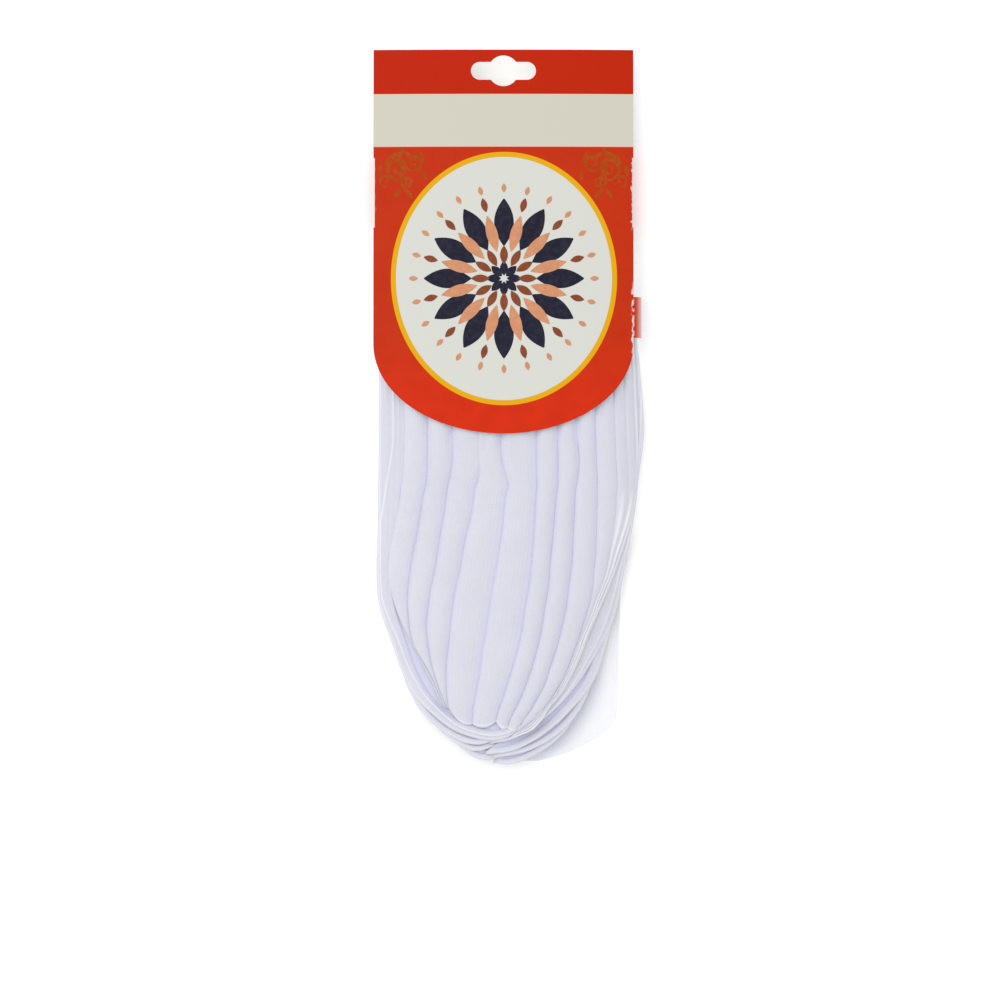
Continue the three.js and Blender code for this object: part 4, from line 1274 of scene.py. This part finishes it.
# %% [markdown]
# With the shapes at hand, the motifs are only lists of places. A scroll is four spirals, a
# stem and eight leaves, drawn once and mirrored for the other corner. The rosette is rings of
# leaves in three inks, each ink a little above the last, as inks are laid down in a press.

# %% Corner scrolls and rosette
def corner_scrolls():
    shapes = []
    for side in (-1, 1):
        def at(u, v):
            return (side * u, 48 + 0.8 * (v - 48))
        half = 0 if side > 0 else math.pi
        shapes += [
            spiral(at(51.5, 60.5), 6.2, 1.5, half + side * 2.2, 2.0, way=-side),
            spiral(at(43.5, 57.0), 4.6, 1.3, half + side * 0.6, 1.6, way=side),
            spiral(at(47.0, 68.5), 3.8, 1.2, half - side * 1.2, 1.4, way=side),
            spiral(at(57.5, 68.0), 3.2, 1.1, half + side * 1.6, 1.2, way=-side)]
        stem = np.stack([side * (49 + 1.6 * np.sin(np.linspace(0, 6, 30))),
                         np.linspace(48.2, 69.5, 30)], 1)
        shapes.append(ribbon(stem, 1.9 - 1.2 * np.linspace(0, 1, 30)))
        for u, v, angle, length in [(49, 50, 0.5, 8), (49, 50, 2.5, 8), (50, 73, 0.9, 6),
                                    (48, 73, 2.2, 6), (55, 52, 1.2, 7), (41, 50, 1.9, 6),
                                    (38, 62, 1.5, 5), (60, 58, 1.5, 6)]:
            turn = angle if side > 0 else math.pi - angle
            shapes.append(leaf(at(u, v), turn, length, 2.2))
    return shapes


def rosette(middle, rings):
    shapes = []
    for count, start, length, wide, offset in rings:
        for k in range(count):
            angle = 2 * math.pi * (k + offset) / count
            root = (middle[0] + start * math.cos(angle), middle[1] + start * math.sin(angle))
            shapes.append(leaf(root, angle, length, wide))
    return shapes


# %% Inks of the motifs
ROSETTE_MIDDLE = (0.25, 112.0)
ink_pieces = [
    ink("corner_scrolls", corner_scrolls(), rgb(165, 67, 4), 0.02),
    ink("rosette_dark", rosette(ROSETTE_MIDDLE, [(12, 16, 23, 9.6, 0), (8, 1.5, 7, 3.9, 0)]),
        rgb(30, 30, 47), 0.02),
    ink("rosette_tan", rosette(ROSETTE_MIDDLE, [(12, 13.5, 18, 5.6, 0.5), (24, 42, 4.4, 2.4, 0)]),
        rgb(198, 138, 102), 0.05),
    ink("rosette_brown", rosette(ROSETTE_MIDDLE, [(12, 7, 9, 3.8, 0), (12, 33.5, 7, 3.2, 0.5)]),
        rgb(128, 66, 40), 0.09)]

# %% [markdown]
# Now each piece gets its material and rides on the one body of the pack, and the CAD solid
# whose place it takes is hidden.

# %% Finishes
for piece, node, material, slot in [
        (crown_piece, "crown", crown_jersey, "jersey_crown"),
        (back_piece, "back_panel", plain_jersey, "jersey_plain"),
        (card_piece, "header_card", printed_board, "printed_card")]:
    piece.data.materials.append(material)
    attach(piece, "root")
    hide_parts(node)
card_piece.data.materials.append(bare_board_inside)
for piece in ink_pieces:
    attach(piece, "root")
for name, node, *_ in STRIPS:
    piece = strip_pieces[node]
    piece.data.materials.append(fold_jersey)
    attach(piece, "root")
    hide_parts(node)
print(len(STRIPS) + len(ink_pieces) + 3, "pieces have a finish")

# %% [markdown]
# Each cloth piece's size laid out flat is worked out and printed. Nobody can measure that on a
# photo, so it is worked out backwards: the built cloth has two faces, so half its surface is the
# area of the cloth, and that area over the length gives the width.

# %% Cloth sheets
def half_area(piece):
    count = len(piece.data.polygons)
    areas = np.zeros(count)
    piece.data.polygons.foreach_get("area", areas)
    return areas.sum() / 2


def flat_size(piece, long_mm):
    wide_mm = half_area(piece) * 1e6 / long_mm
    print(piece.name, "flat", round(wide_mm, 1), "x", round(long_mm, 1), "mm")
    return (max(wide_mm / 1000, 0.01), long_mm / 1000)


middle_line = np.stack(valley_line(VALLEYS[5], crown_at), 1)
crown_long = np.hypot(*np.diff(middle_line, axis=0).T).sum()
flat_size(crown_piece, crown_long)
flat_size(back_piece, TURBAN_LENGTH)
for name, node, rows, *_ in STRIPS:
    rows = np.array(rows)
    long_mm = np.hypot(np.diff(across(rows[:, 0])), np.diff(rows[:, 1] * TURBAN_LENGTH)).sum()
    flat_size(strip_pieces[node], long_mm)

# %% [markdown]
# The photo is a catalogue view with hardly any shadow. A pale floor that glows a little, under
# a bright even sky, gives that, with two wide lamps: a key from the upper left, so that each
# pleat's right side falls into a soft shade, and a weak fill from the lower right.

# %% Floor and lights
FLOOR_GLOW = 0.18

floor_mesh = bpy.data.meshes.new("floor")
floor_mesh.from_pydata([(-3, -3, 0), (3, -3, 0), (3, 3, 0), (-3, 3, 0)], [], [(0, 1, 2, 3)])
floor = bpy.data.objects.new("floor", floor_mesh)
bpy.context.scene.collection.objects.link(floor)
floor_material = bpy.data.materials.new("studio_floor")
floor_material.use_nodes = True
floor_surface = floor_material.node_tree.nodes["Principled BSDF"]
floor_surface.inputs["Base Color"].default_value = (0.92, 0.92, 0.92, 1)
floor_surface.inputs["Roughness"].default_value = 0.9
floor_surface.inputs["Emission Color"].default_value = (1, 1, 1, 1)
floor_surface.inputs["Emission Strength"].default_value = FLOOR_GLOW
floor_mesh.materials.append(floor_material)


def sun_light(name, place, width, power):
    data = bpy.data.lights.new(name, "SUN")
    data.angle = math.radians(width)
    data.energy = power
    lamp = bpy.data.objects.new(name, data)
    lamp.location = place
    lamp.rotation_mode = "QUATERNION"
    lamp.rotation_quaternion = (-Vector(place)).to_track_quat("-Z", "Y")
    bpy.context.scene.collection.objects.link(lamp)
    return lamp


sun_light("key_softbox", (-0.60, 0.36, 1.0), 60, 1.12)
sun_light("fill_softbox", (0.6, -0.2, 1.0), 80, 0.42)
world = bpy.data.worlds.new("studio")
world.use_nodes = True
world.node_tree.nodes["Background"].inputs["Color"].default_value = (1, 1, 1, 1)
world.node_tree.nodes["Background"].inputs["Strength"].default_value = 0.72
bpy.context.scene.world = world
bpy.context.scene.view_settings.view_transform = "Standard"
print("lights", [lamp.name for lamp in bpy.data.lights])

# %% [markdown]
# The camera hangs straight above the pack, three metres up, which keeps the near and far
# layers at nearly one scale, as the photo does. Its lens is worked out so that the picture
# covers the right width at the level of the card.

# %% Camera
camera_data = bpy.data.cameras.new("camera")
camera = bpy.data.objects.new("camera", camera_data)
bpy.context.scene.collection.objects.link(camera)
bpy.context.scene.camera = camera
CAMERA_HEIGHT = 3.0
PICTURE_WIDTH = 0.4885
CARD_LEVEL = 0.012
camera_data.sensor_width = 36
camera_data.lens = 36 * (CAMERA_HEIGHT - CARD_LEVEL) / PICTURE_WIDTH
camera.location = (-0.00435, -0.0454, CAMERA_HEIGHT)
camera.rotation_euler = (0, 0, 0)
camera_data.dof.use_dof = False
print("lens", round(camera_data.lens, 1), "mm")
